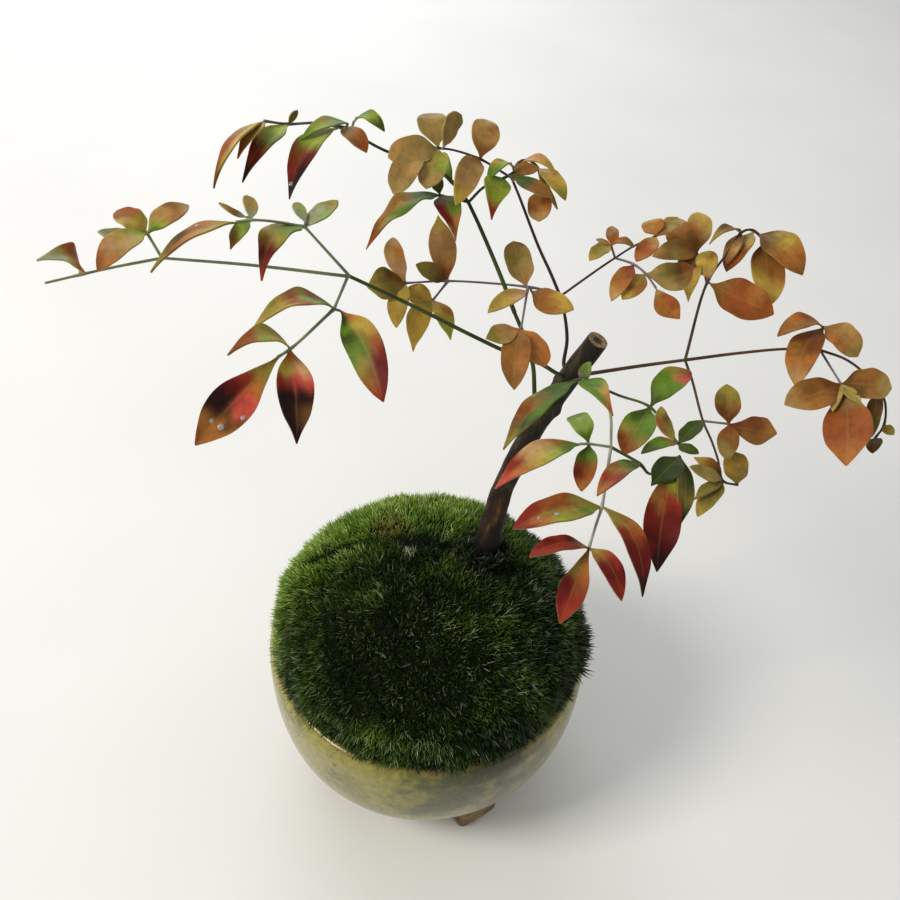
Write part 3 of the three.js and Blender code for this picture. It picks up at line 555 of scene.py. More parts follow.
# %% Bark finish
def corky_bark():
    """Corky nandina bark, and the sawn end of pale wood where the attribute says so."""
    material, tree = new_finish("corky bark with a sawn end")
    place = add(tree, "TexCoord").outputs["Object"]
    long_way = add(tree, "Mapping", {"Vector": place, "Scale": (1, 1, 0.28)})
    strips = add(tree, "TexNoise", {"Vector": long_way, "Scale": 420, "Detail": 5, "Roughness": 0.6})
    blotch = add(tree, "TexNoise", {"Vector": place, "Scale": 110, "Detail": 2})
    fine = add(tree, "TexNoise", {"Vector": long_way, "Scale": 1500, "Detail": 3})
    dark = add(
        tree, "ValToRGB", {"Fac": strips},
        [(0.34, linear("#0c0904")), (0.53, linear("#211a0c")), (0.74, linear("#4c4429"))],
    )
    red = add(
        tree, "ValToRGB", {"Fac": strips},
        [(0.36, linear("#170c05")), (0.56, linear("#42260f")), (0.76, linear("#86603a"))],
    )
    along = add(tree, "Attribute", attribute_name="along").outputs["Fac"]
    low = add(
        tree, "MapRange", {"Value": along, "From Min": 0.4, "From Max": 0.65, "To Min": 1.3, "To Max": 0.1}
    )
    mixed_where = add(tree, "Math", {0: low, 1: blotch}, operation="MULTIPLY")
    bark_colour = add(tree, "Mix", {MIX_FACTOR: mixed_where, MIX_A: dark, MIX_B: red}, data_type="RGBA")
    # Painted shade: the bark is darkened to near black at its foot, just above the moss, fading out about 1
    # cm up.
    height = add(tree, "SeparateXYZ", {"Vector": place}).outputs["Z"]
    trunk_foot_shade = add(
        tree, "MapRange", {"Value": height, "From Min": 0.089, "From Max": 0.099, "To Min": 0.95, "To Max": 0}
    )
    bark_with_foot_shade = add(
        tree, "Mix", {MIX_FACTOR: trunk_foot_shade, MIX_A: bark_colour, MIX_B: linear("#060403")}, data_type="RGBA"
    )
    sawn = add(tree, "Attribute", attribute_name="sawn").outputs["Fac"]
    wood = add(tree, "ValToRGB", {"Fac": fine}, [(0.35, linear("#5c4d34")), (0.65, linear("#93805c"))])
    pith = add(tree, "MapRange", {"Value": sawn, "From Min": 1, "From Max": 1.8, "To Min": 0, "To Max": 1})
    cut_end = add(tree, "Mix", {MIX_FACTOR: pith, MIX_A: wood, MIX_B: linear("#3f2a18")}, data_type="RGBA")
    colour = add(tree, "Mix", {MIX_FACTOR: sawn, MIX_A: bark_with_foot_shade, MIX_B: cut_end}, data_type="RGBA")
    relief = add(tree, "Bump", {"Height": strips, "Strength": 0.7, "Distance": 0.0008})
    skin = add(tree, "Bump", {"Height": fine, "Strength": 0.3, "Distance": 0.0003, "Normal": relief})
    shader = add(
        tree, "BsdfPrincipled",
        {"Base Color": colour, "Roughness": 0.7, "Specular IOR Level": 0.25, "Normal": skin},
    )
    add(tree, "OutputMaterial", {"Surface": shader})
    return material


finished("trunk_stem", trunk_mesh, corky_bark(), "trunk")

# %% [markdown]
# ## The moss ball
# The moss is a springy cushion of thousands of leafy shoots, each a tuft of fine pointed leaves. A smooth
# mound carries them. It is a dome with a squarish section, pushed into low hills by noise. A crease between
# its two cushions and a full shoulder at the left follow the picture, through rays that meet the mound.

# %% Moss mound
MOSS_TOP = 87.5
MOSS_RADIUS = 45
MOSS_EDGE_RADIUS = 44.2
MOSS_EDGE_HEIGHT = 54.6
DOME_SHOULDER = 60
DOME_ROUNDNESS = 1.9
NEEDLE_ROOM = 2.9
EDGE_ROOM = 0.8
MOUND_WALL = 2.4
MOUND_STEPS = 34
MOUND_INNER_STEPS = 12
MOUND_TURNS = 110
HILL_HEIGHT = 1.3
HILL_SCALE = 48
SMALL_HILL_SHARE = 0.6
SMALL_HILL_SCALE = 120
HILLS_FROM = 2


def dome(radius, top, steps):
    """Points over a dome from its widest place to its top, on a squarish quarter ellipse."""
    power = 2 / DOME_ROUNDNESS
    points = []
    for i in range(steps):
        turn = math.pi / 2 * i / steps
        rise = (top - DOME_SHOULDER) * math.sin(turn) ** power
        points.append((radius * math.cos(turn) ** power, DOME_SHOULDER + rise))
    return points + [(0, top)]


mound_outer = [(MOSS_EDGE_RADIUS - EDGE_ROOM, MOSS_EDGE_HEIGHT)]
mound_outer += dome(MOSS_RADIUS - NEEDLE_ROOM, MOSS_TOP - NEEDLE_ROOM, MOUND_STEPS)
inner_room = NEEDLE_ROOM + MOUND_WALL
mound_inner = [(MOSS_EDGE_RADIUS - inner_room, MOSS_EDGE_HEIGHT)]
mound_inner += dome(MOSS_RADIUS - inner_room, MOSS_TOP - inner_room, MOUND_INNER_STEPS)
mound_mesh = spun(mound_outer + mound_inner[-2::-1] + mound_outer[:1], MOUND_TURNS)
mound_tree = BVHTree.FromBMesh(mound_mesh)


def on_moss(across, down):
    """The place where the ray through a picture point meets the mound."""
    return mound_tree.ray_cast(EYE, (seen((across, down, 100)) - EYE).normalized())[0]


VALLEY_POINTS = [(292, 592), (318, 566), (350, 548), (385, 541), (415, 544), (445, 549), (474, 556)]
VALLEY_DEPTH = 0.8
VALLEY_WIDTH = 2.4
VALLEY_SPACING = 1.5
valley = smooth_path([on_moss(*point) for point in VALLEY_POINTS], VALLEY_SPACING)


def to_valley(place):
    """How far a place is from the crease between the two cushions of moss, in millimetres."""
    return min((place - spot).length for spot in valley) / MM


SHOULDER_PLACE = on_moss(312, 575)
SHOULDER_HEIGHT = 2
SHOULDER_REACH = 13


def hill(place):
    """How high the moss stands at a place, in millimetres: hills 20 and 8 mm across, a shoulder, a crease."""
    small_hills = SMALL_HILL_SHARE * noise.noise(place * SMALL_HILL_SCALE)
    hills = HILL_HEIGHT * (noise.noise(place * HILL_SCALE + Vector((3, 1, 7))) + small_hills)
    shoulder = SHOULDER_HEIGHT * math.exp(-(((place - SHOULDER_PLACE).length / MM / SHOULDER_REACH) ** 2))
    return hills + shoulder - VALLEY_DEPTH * math.exp(-((to_valley(place) / VALLEY_WIDTH) ** 2))


mound_mesh.normal_update()
mound_middle = AXIS + Vector((0, 0, DOME_SHOULDER * MM))
above_edge = [vert for vert in mound_mesh.verts if vert.co.z > (MOSS_EDGE_HEIGHT + HILLS_FROM) * MM]
for vert, step in [(vert, vert.normal * hill(vert.co) * MM) for vert in above_edge]:
    vert.co += step
mound_mesh.normal_update()
outside_faces = [
    face for face in mound_mesh.faces
    if face.normal.dot(face.calc_center_median() - mound_middle) > 0 and face.normal.z > -0.6
]
print(len(outside_faces), "mound faces face out")

# %% [markdown]
# ## Moss shoots
# Each shoot of this moss is a small brush of thin pointed leaves, a star from above. One leaf is a
# three-sided spike that is widest and bends in the middle. A big star has many of them, the outer ones lower
# and flatter, and a small tuft has a few. Some of each are made, and turned copies are set on the mound:
# stars a few millimetres apart, so that dark gaps are left, and small dull tufts that fill the gaps.

# %% Tufts
NEEDLE_LENGTH = 4.6
NEEDLE_RADIUS = 0.19
NEEDLE_SWELL = 1.45
NEEDLE_MIDDLE_UP = 1.2
NEEDLE_DROP = 1.4
SMALL_SHARE = 0.62
STAR_STEEPEST = 6
SMALL_STEEPEST = 20
# Painted shade: tufts in the crease keep only this share of their pale tips and tint, so they stay dark.
CREASE_SHADE_FRESHNESS = 0.35
STAR_NEEDLES = 20
SMALL_NEEDLES = 6
STAR_KINDS = 7
SMALL_KINDS = 5
FLATTEST_LEAN = 58
GOLDEN_TURN = math.radians(137.5)
moss_random = random.Random(4)


def needle(length, lean, turn, bend, drop, fresh):
    """A bent three-sided spike as a mesh, leaning away from the shoot's axis. A fresh one has a pale tip."""
    bm = bmesh.new()
    tip_layer = bm.verts.layers.float.new("tip")
    tint_layer = bm.verts.layers.float.new("tint")
    bmesh.ops.create_cone(bm, cap_ends=False, segments=3, radius1=NEEDLE_RADIUS * MM, radius2=0, depth=length)
    bmesh.ops.remove_doubles(bm, verts=bm.verts, dist=MERGE_DISTANCE)
    sides = [edge for edge in bm.edges if edge.calc_length() > length / 2]
    bmesh.ops.subdivide_edges(bm, edges=sides, cuts=1)
    bmesh.ops.translate(bm, vec=(0, 0, length / 2), verts=bm.verts)
    tint = moss_random.random()
    for vert in bm.verts:
        at = vert.co.z / length
        vert[tip_layer] = at * fresh
        vert[tint_layer] = tint * fresh
        if 0.2 < at < 0.8:
            middle = (vert.co.x * NEEDLE_SWELL, vert.co.y * NEEDLE_SWELL, vert.co.z * NEEDLE_MIDDLE_UP)
            vert.co = middle
        vert.co.x += bend * at * at * length
    twist = Matrix.Rotation(turn, 3, "Z") @ Matrix.Rotation(lean, 3, "Y")
    bmesh.ops.rotate(bm, cent=(0, 0, 0), matrix=twist, verts=bm.verts)
    bmesh.ops.translate(bm, vec=(0, 0, -drop), verts=bm.verts)
    return to_mesh("needle", bm)


def tuft(count, long, steepest, fresh):
    """One moss shoot as a mesh: needles in a spiral about its axis, flatter and lower towards its outside."""
    bm = bmesh.new()
    for number in range(count):
        share = (number + 0.5) / count
        lean = math.radians(steepest + (FLATTEST_LEAN - steepest) * share + moss_random.uniform(-6, 6))
        turn = GOLDEN_TURN * number + moss_random.uniform(-0.3, 0.3)
        length = long * moss_random.uniform(0.75, 1.1) * (0.8 + 0.2 * share) * MM
        bend = moss_random.uniform(-0.2, 0.12)
        pour(needle(length, lean, turn, bend, share * NEEDLE_DROP * MM, fresh), bm)
    bmesh.ops.recalc_face_normals(bm, faces=bm.faces)
    return to_mesh("tuft", bm)


def small_tuft(fresh=1):
    """A tuft of a few short needles."""
    return tuft(SMALL_NEEDLES, NEEDLE_LENGTH * SMALL_SHARE, SMALL_STEEPEST, fresh)


def star():
    """A full star, more or less fresh."""
    return tuft(STAR_NEEDLES, NEEDLE_LENGTH, STAR_STEEPEST, moss_random.uniform(0.7, 1.2))


stars = [star() for kind in range(STAR_KINDS)]
small_tufts = [small_tuft() for kind in range(SMALL_KINDS)]
# Darker copies of the small tuft, painted shade for the crease.
shaded_crease_tufts = [small_tuft(CREASE_SHADE_FRESHNESS) for kind in range(SMALL_KINDS)]
print("a star has", len(stars[0].polygons), "faces and a small tuft", len(small_tufts[0].polygons))

# %% [markdown]
# ## The moss's finish
# The needles are dark at their foot, partly in their own colour and partly as painted shade deep in the
# cushion, and pale at their tip, where a few carry painted glints. The back left side, which faces the lamps,
# is made brighter as painted light. One place has dried to brown and one tuft is pale, both read from the
# picture by a ray to the mound. The front side, away from the lamps, and the ring about the trunk are
# darkened as painted shade.

# %% Moss finish
BROWN_PATCH = on_moss(389, 528)
PALE_TUFT = on_moss(410, 551)
# Painted light: the moss is made brighter towards this side, the back left, which faces the lamps.
LIT_SIDE_DIRECTION = Vector((-0.62, 0.78, 0))
TRUNK_LEAVES_MOSS = 86
MOSS_AT_TRUNK = min(trunk_path, key=lambda spot: abs(spot.z - TRUNK_LEAVES_MOSS * MM))
print("brown patch at", [round(v / MM, 1) for v in BROWN_PATCH])


def living_moss():
    """Living cushion moss: dark at the foot, pale at the tips with painted glints, painted light at the back
    left and painted shade at the front, deep down and round the trunk.
    """
    material, tree = new_finish("living cushion moss")
    place = add(tree, "TexCoord").outputs["Object"]
    patch = add(tree, "TexNoise", {"Vector": place, "Scale": 60, "Detail": 4, "Roughness": 0.6})
    tip = add(tree, "Attribute", attribute_name="tip").outputs["Fac"]
    tint = add(tree, "Attribute", attribute_name="tint").outputs["Fac"]
    tip_share = add(tree, "Math", {0: tip, 1: 1.4}, operation="POWER")
    from_axis = add(tree, "VectorMath", {0: place, 1: AXIS}, operation="SUBTRACT")
    toward_lit_side = add(tree, "VectorMath", {0: from_axis, 1: LIT_SIDE_DIRECTION}, operation="DOT_PRODUCT")
    # Painted light: towards the back left the moss is lifted to brighter, fresher colours.
    side = add(
        tree, "MapRange",
        {"Value": toward_lit_side, "From Min": 0.004, "From Max": 0.038, "To Min": 0, "To Max": 0.76},
    )
    patches_and_painted_light = add(tree, "Math", {0: patch, 1: side}, operation="ADD")
    # Painted shade: the needles' foot colour is partly their own dark green and partly shade deep in the
    # cushion.
    foot_colour_and_shade = add(tree, "ValToRGB", {"Fac": patches_and_painted_light}, [(0.35, linear("#060d03")), (0.95, linear("#1c3408"))])
    # Painted highlight: the palest stops of this ramp and the next, which only a few needles reach, are
    # glints on their tips.
    dull = add(
        tree, "ValToRGB", {"Fac": tint},
        [(0.1, linear("#17330c")), (0.75, linear("#365a1e")), (0.97, linear("#97a27e"))],
    )
    fresh = add(
        tree, "ValToRGB", {"Fac": tint},
        [(0.0, linear("#66991a")), (0.7, linear("#a8d044")), (0.96, linear("#e2ec94"))],
    )
    fresh_share_and_painted_light = add(
        tree, "MapRange", {"Value": patches_and_painted_light, "From Min": 0.48, "From Max": 0.85, "To Min": 0, "To Max": 1}
    )
    light = add(tree, "Mix", {MIX_FACTOR: fresh_share_and_painted_light, MIX_A: dull, MIX_B: fresh}, data_type="RGBA")
    colour = add(tree, "Mix", {MIX_FACTOR: tip_share, MIX_A: foot_colour_and_shade, MIX_B: light}, data_type="RGBA")
    to_brown, to_pale, to_trunk = [
        add(tree, "VectorMath", {0: place, 1: middle}, operation="DISTANCE")
        for middle in (BROWN_PATCH, PALE_TUFT, MOSS_AT_TRUNK)
    ]
    for reach, nearest, farthest, most, tone in (
        (to_brown, 0.0025, 0.0065, 0.72, "#8a7d42"),
        (to_pale, 0.0014, 0.0026, 1.6, "#cfd2a8"),
        # Painted shade: the front side, away from the lamps, is darkened.
        (toward_lit_side, -0.046, -0.022, 0.3, "#0a1205"),
        # Painted shade: a ring of moss round the trunk's foot is darkened.
        (to_trunk, 0.004, 0.0105, 0.8, "#0e0b06"),
    ):
        where = add(
            tree, "MapRange",
            {"Value": reach, "From Min": nearest, "From Max": farthest, "To Min": most, "To Max": 0},
        )
        if reach == to_pale:
            where = add(tree, "Math", {0: where, 1: tint}, operation="MULTIPLY")
        colour = add(tree, "Mix", {MIX_FACTOR: where, MIX_A: colour, MIX_B: linear(tone)}, data_type="RGBA")
    shader = add(
        tree, "BsdfPrincipled",
        {"Base Color": colour, "Roughness": 0.4, "IOR": 1.45, "Specular IOR Level": 0.4},
    )
    add(tree, "OutputMaterial", {"Surface": shader})
    return material


moss_finish = living_moss()

# %% [markdown]
# The places are picked on the mound's outward faces by their area. A star is set only where no other stands
# too near. Each tuft stands along the face's normal with some lean of its own, and none grows on the trunk.
# Tufts darkened as painted shade line the crease, a collar of small tufts closes round the trunk, and one
# clump overhangs the rim.

# %% Scatter the tufts
STAR_TRIES = 14000
STAR_SPACING = 1.75
SMALL_COUNT = 2600
TUFTS_IN_A_PIECE = {"star": 1000, "small": 3400, "shaded_crease": 3400}
CREASE_WIDTH = 2.3
TRUNK_ROOM = 2.9
SWIRL = 0.55
SWIRL_SCALE = 90
COMB = 0.5
COMB_RADIUS = 30
HANG = 0.6
HANG_FROM = 66
HANG_FADE = 8
COLLAR_TUFTS = 46
SHADED_CREASE_TUFTS = 12
CLUMP_REACH = 6
CLUMP_GROWTH = 1.6
CLUMP_POINT = (590, 652, 276)
STAR_LEAN, STAR_SUNK = 0.14, 0.9
SMALL_LEAN, SMALL_SUNK = 0.4, 0.6

areas = [face.calc_area() for face in outside_faces]


def spot_on(face):
    """A random place on a face, and its normal."""
    corners = [vert.co for vert in face.verts]
    across = moss_random.random()
    up = moss_random.random()
    low = corners[0].lerp(corners[1], across)
    high = (corners[3] if len(corners) > 3 else corners[2]).lerp(corners[2], across)
    return low.lerp(high, up), face.normal.copy()


def off_sight(face):
    """How far a face's middle is from the sight line to the clump that overhangs the rim."""
    middle = face.calc_center_median()
    return (intersect_point_line(middle, EYE, seen(CLUMP_POINT))[0] - middle).length


clump = min(outside_faces, key=off_sight).calc_center_median()


def standing(place, normal, wander, size, sunk):
    """The matrix of one tuft: on its place, combed outwards and over the rim, turned by chance."""
    lean = Vector([moss_random.gauss(0, wander) for axis in range(3)])
    layers = [place * SWIRL_SCALE + Vector((0, 0, 20 * axis)) for axis in range(3)]
    swirl = Vector([noise.noise(layer) for layer in layers]) * SWIRL
    outward = Vector((place.x - AXIS.x, place.y - AXIS.y, 0)) / (COMB_RADIUS * MM)
    comb = outward * COMB / max(1, outward.length)
    hang = Vector((0, 0, -HANG)) * min(1, max(0, (HANG_FROM * MM - place.z) / (HANG_FADE * MM)))
    if (place - clump).length < CLUMP_REACH * MM:
        size *= CLUMP_GROWTH
        comb *= 2
        hang *= 0.4
    facing = (normal + lean + swirl + comb + hang).normalized().to_track_quat("Z", "Y").to_matrix().to_4x4()
    turn = Matrix.Rotation(moss_random.uniform(0, 2 * math.pi), 4, "Z")
    return Matrix.Translation(place - normal * sunk * MM) @ facing @ turn @ Matrix.Scale(size, 4)


def in_trunk(place):
    """Whether a place is under the trunk's foot."""
    return any((place - spot).length < TRUNK_ROOM * MM for spot in trunk_path)


cells = {}
star_places = []
for face in moss_random.choices(outside_faces, weights=areas, k=STAR_TRIES):
    place, normal = spot_on(face)
    cell = [int(c // (STAR_SPACING * MM)) for c in place]
    around = itertools.product(*[(c - 1, c, c + 1) for c in cell])
    near = [other for nearby in around for other in cells.get(nearby, [])]
    crowded = any((other - place).length < STAR_SPACING * MM for other in near)
    if crowded or in_trunk(place) or to_valley(place) < CREASE_WIDTH:
        continue
    cells.setdefault(tuple(cell), []).append(place)
    size = moss_random.uniform(0.8, 1.15)
    star_places.append(standing(place, normal, STAR_LEAN, size, STAR_SUNK))
small_places = []
shaded_crease_places = []
for face in moss_random.choices(outside_faces, weights=areas, k=SMALL_COUNT):
    place, normal = spot_on(face)
    if in_trunk(place):
        continue
    if to_valley(place) < CREASE_WIDTH * moss_random.uniform(0.8, 1.2):
        shaded_crease_places.append(standing(place, normal, SMALL_LEAN, 0.8, SMALL_SUNK))
        continue
    size = moss_random.uniform(0.7, 1.0)
    small_places.append(standing(place, normal, SMALL_LEAN, size, SMALL_SUNK))
for spot in valley:
    for number in range(SHADED_CREASE_TUFTS):
        away = Vector([moss_random.uniform(-1, 1) * CREASE_WIDTH * MM for axis in range(3)])
        place, normal = mound_tree.find_nearest(spot + away)[:2]
        shaded_crease_places.append(standing(place, normal, SMALL_LEAN, 0.85, 2 * SMALL_SUNK))
for number in range(COLLAR_TUFTS):
    away = Vector((math.cos(GOLDEN_TURN * number), math.sin(GOLDEN_TURN * number), 0))
    place = MOSS_AT_TRUNK + away * moss_random.uniform(4.0, 6.2) * MM
    place.z += (0.6 if away.y < 0.2 else -1.4) * MM
    small_places.append(standing(place, Vector((0, 0, 1)) - away * 0.15, 0.25, 1.4, 0))
print(len(star_places), "stars and", len(small_places), "small tufts")

for name, kinds, places in (
    ("star", stars, star_places),
    ("small", small_tufts, small_places),
    ("shaded_crease", shaded_crease_tufts, shaded_crease_places),
):
    in_a_piece = TUFTS_IN_A_PIECE[name]
    for first in range(0, len(places), in_a_piece):
        batch = bmesh.new()
        for matrix in places[first : first + in_a_piece]:
            copy = moss_random.choice(kinds).copy()
            copy.transform(matrix)
            pour(copy, batch)
        piece = "moss_" + name + "_shoots_" + str(first // in_a_piece + 1)
        finished(piece, batch, moss_finish, "moss")


# %% Mound finish
def shaded_moss_underlayer():
    """Old leaves at the foot of the shoots, near black: their own dark green deepened as painted shade
    between the shoots.
    """
    material, tree = new_finish("old moss leaves in painted shade")
    place = add(tree, "TexCoord").outputs["Object"]
    litter = add(tree, "TexNoise", {"Vector": place, "Scale": 700, "Detail": 4})
    # Painted shade: these near-black tones stand for the shade deep between the shoots.
    colour = add(tree, "ValToRGB", {"Fac": litter}, [(0.35, linear("#060903")), (0.7, linear("#161d08"))])
    rough = add(tree, "Bump", {"Height": litter, "Strength": 1, "Distance": 0.001})
    shader = add(
        tree, "BsdfPrincipled",
        {"Base Color": colour, "Roughness": 0.95, "Specular IOR Level": 0.1, "Normal": rough},
    )
    add(tree, "OutputMaterial", {"Surface": shader})
    return material


finished("moss_mound", mound_mesh, shaded_moss_underlayer(), "moss")

# %% [markdown]
# ## Where the leaves are
# Each stalk is a thickness in millimetres, a colour, and the picture points that it runs through. Each
# leaflet has its foot, its tip, its seen width and sideways bow in millimetres, its tilt in degrees, the name
# of its outline, and its colours from foot to tip, where a pair such as gold/green is its two halves.

# %% Frond tables
LEFT_STALKS = [
    (1.5, "darkgreen", (567, 378, 226), (556, 373, 221), (541, 364, 217), (505, 351, 209),
     (472, 335.5, 203), (411, 305, 196.5), (350, 276.5, 190)),
    (1.1, "greygreen", (350, 276.5, 190), (250, 265, 180), (162, 258, 172)),
    (0.9, "greygreen", (162, 258, 172), (110, 268, 166), (45, 283, 158)),
    (1, "greygreen", (350, 276.5, 190), (305, 227, 182.5)),
    (0.9, "greygreen", (305, 227, 182.5), (278, 222, 178), (252, 220, 174), (236, 222, 172)),
    (0.9, "greygreen", (162, 258, 172), (147, 233, 169)),
    (1, "greygreen", (348, 276, 190), (334, 309, 184)),
    (1, "greygreen", (334, 309, 184), (291, 348.5, 176), (278, 357, 174)),
]
LEFT_LEAFLETS = [
    ((341, 311, 184), (383, 402, 176), 6.9, 1.2, 15, "oval",
     "orange/deepgreen gold/green gold/deepgreen rust/green crimson/olive crimson/brown crimson/red"),
    ((331, 306, 184), (253, 328, 174), 3.8, -3.5, 58, "nearest",
     "green green/rust palegreen/olive rust gold olive khaki"),
    ((291, 349, 176), (227, 355, 168), 3.3, -3.2, 55, "early", "olive gold/olive lime/olive rust darkrust"),
    ((278, 357, 174), (195, 445, 166), 7.5, -0.2, 10, "lance",
     "olive olive orange/red scarlet/crimson scarlet/black darkbrown/black orange/brown orange/rust"),
    ((291, 352, 176), (297, 444, 169), 6.5, 0.5, -12, "pointed",
     "orange peach/olive scarlet/red black darkbrown/black black"),
    ((303, 226, 182), (261, 281, 174), 4.9, -3, 45, "early",
     "green green/olive green/olive olive/brown crimson red"),
    ((306, 223, 182), (338, 200, 186), 2.9, 0.3, -45, "oval", "sage sage/palegreen olive"),
    ((306, 222, 182), (296, 202, 185), 2.1, 0, 30, "oval", "sage sage/palegreen olive"),
    ((250, 218, 174), (247, 195, 177), 2.4, -0.4, 30, "oval", "sage gold/tan olive"),
    ((247, 217, 174), (219, 202, 171), 0.9, 0.2, 45, "oval", "sage brown khaki"),
    ((250, 222, 174), (230, 249, 170), 2.4, -0.6, 35, "pointed", "green green/lime lime/olive brown"),
    ((236, 222, 172), (150, 272, 162), 2.1, -2.2, 60, "early",
     "olive olive/orange gold/orange orange/darkbrown brown/darkolive olive"),
    ((145, 231, 169), (117, 210, 170), 3.9, -0.4, 35, "round", "olive gold/olive paleolive/rust rust"),
    ((143, 234, 169), (97, 271, 162), 4, -1.5, 40, "oval", "lime paleolive/gold tan/peach orange"),
    ((149, 231, 169), (189, 205, 172), 3.4, 0.8, -45, "oval", "lime/green tan/lime tan/brown brown khaki"),
    ((82, 274, 162), (36, 260, 155), 3.6, -2.7, 50, "early",
     "brown orange/rust rust gold/rust sage/olive sage"),
    ((143, 234, 170), (98, 231, 164), 2.4, 0.6, 40, "oval", "sage paleolive sage"),
]
UPPER_STALKS = [
    (1.8, "darkgreen", (540, 425, 239), (535.5, 410, 235), (533, 366, 225), (527, 343, 221),
     (514.5, 312.7, 216.5)),
    (1.6, "darkgreen", (514.5, 312.7, 216.5), (500.6, 276, 214), (479, 225, 212), (468.4, 202.4, 211)),
    (1.2, "darkgreen", (468.4, 202.4, 211), (452, 182, 212), (430, 165, 211), (386, 151, 207),
     (345, 128, 200)),
    (1, "greyviolet", (345, 128, 200), (316, 123, 196), (288, 124, 192), (264, 121, 188)),
    (1, "darkgreen", (468.4, 202.4, 211), (484, 187, 210), (506, 177, 210), (514, 172, 211)),
    (0.9, "darkgreen", (468.4, 202.4, 211), (452, 198, 210), (440, 195, 209)),
]
UPPER_LEAFLETS = [
    ((440, 196, 209), (366, 249, 197), 3.8, -3.2, 45, "ruffled",
     "deepgreen green green/tan green/brown olive/brown rust"),
    ((441, 196, 209), (456, 241, 204), 5.4, 0.9, -15, "early",
     "deepgreen green/crimson green/crimson orange/crimson brown"),
    ((440, 194, 209), (431, 176, 212), 2.8, -0.5, 25, "oval", "deepgreen"),
    ((450, 184, 212), (443, 152, 215), 2, 0.2, -45, "oval", "green lime lime"),
    ((505, 180, 209.5), (492, 220, 205), 5.8, -1, -16, "early", "green lime lime red"),
    ((513, 166, 212), (487, 181, 207), 2.1, -2, 50, "oval", "olive lime/gold green"),
    ((513, 177, 209), (552, 197, 205), 2.7, 0.4, -42, "oval", "deepgreen deepgreen brown brown"),
    ((517, 172, 211), (539, 168, 211), 2.2, 0.2, -40, "oval", "brown"),
    ((337, 128, 200), (289, 199, 188), 4.5, -2.9, 35, "pointed",
     "lime lime lime crimson/rust black/red black"),
    ((348, 123, 200), (298, 143, 192), 2.4, -1.8, 55, "early", "green green/olive lime green"),
    ((354, 121, 201), (385, 131, 197), 2, 2.1, -55, "oval", "green green lime deepgreen"),
    ((340, 128, 200), (367, 152, 195), 3.4, 0.8, -38, "oval", "olive brown rust/brown rust"),
    ((288, 124, 192), (242, 182, 183), 3.7, -1.5, 38, "early",
     "lime lime green/olive darkbrown/crimson crimson/red black"),
    ((264, 121, 188), (213, 188, 178), 1.9, -2.3, 60, "early",
     "gold gold/brown gold/rust olive/rust darkbrown"),
    ((266, 123, 188), (237, 158, 182), 2.2, -0.8, 50, "early", "tan gold/brown rust"),
    ((288, 122, 192), (298, 110, 192), 1.2, 0, 30, "oval", "darkolive"),
]
MIDDLE_STALKS = [
    (1.5, "purple", (572, 374, 226.5), (564, 366, 229), (567, 341, 228),
     (565.3, 318.8, 226.5), (560.2, 296.3, 224.5)),
    (1.2, "purple", (560.2, 296.3, 224.5), (551, 274, 223), (538.8, 247.3, 221.5),
     (518.4, 194.3, 218.5), (511.6, 178, 217)),
    (0.9, "purple", (511.6, 178, 217), (480, 159, 211), (453, 150, 207), (437, 148, 204)),
    (0.9, "purple", (511.6, 178, 217), (518, 163, 217), (527, 160, 217), (538, 168, 216), (541, 190, 215)),
    (0.9, "greyviolet", (560.2, 296.3, 224.5), (545, 290, 219), (528, 287, 217),
     (500, 284, 217.5), (448, 281, 212), (406, 283, 208)),
    (0.9, "greyviolet", (528, 287, 217), (521, 329, 204)),
    (0.9, "greyviolet", (448, 281, 212), (433, 300, 210)),
    (0.9, "purple", (560.2, 296.3, 224.5), (600, 268, 225), (615, 258, 225), (634, 246, 226),
     (656, 236, 227)),
    (0.9, "greyviolet", (615, 258, 225), (611, 245, 225)),
    (0.9, "greyviolet", (615, 258, 225), (633, 264, 223), (645, 273, 222), (656, 288, 221)),
]
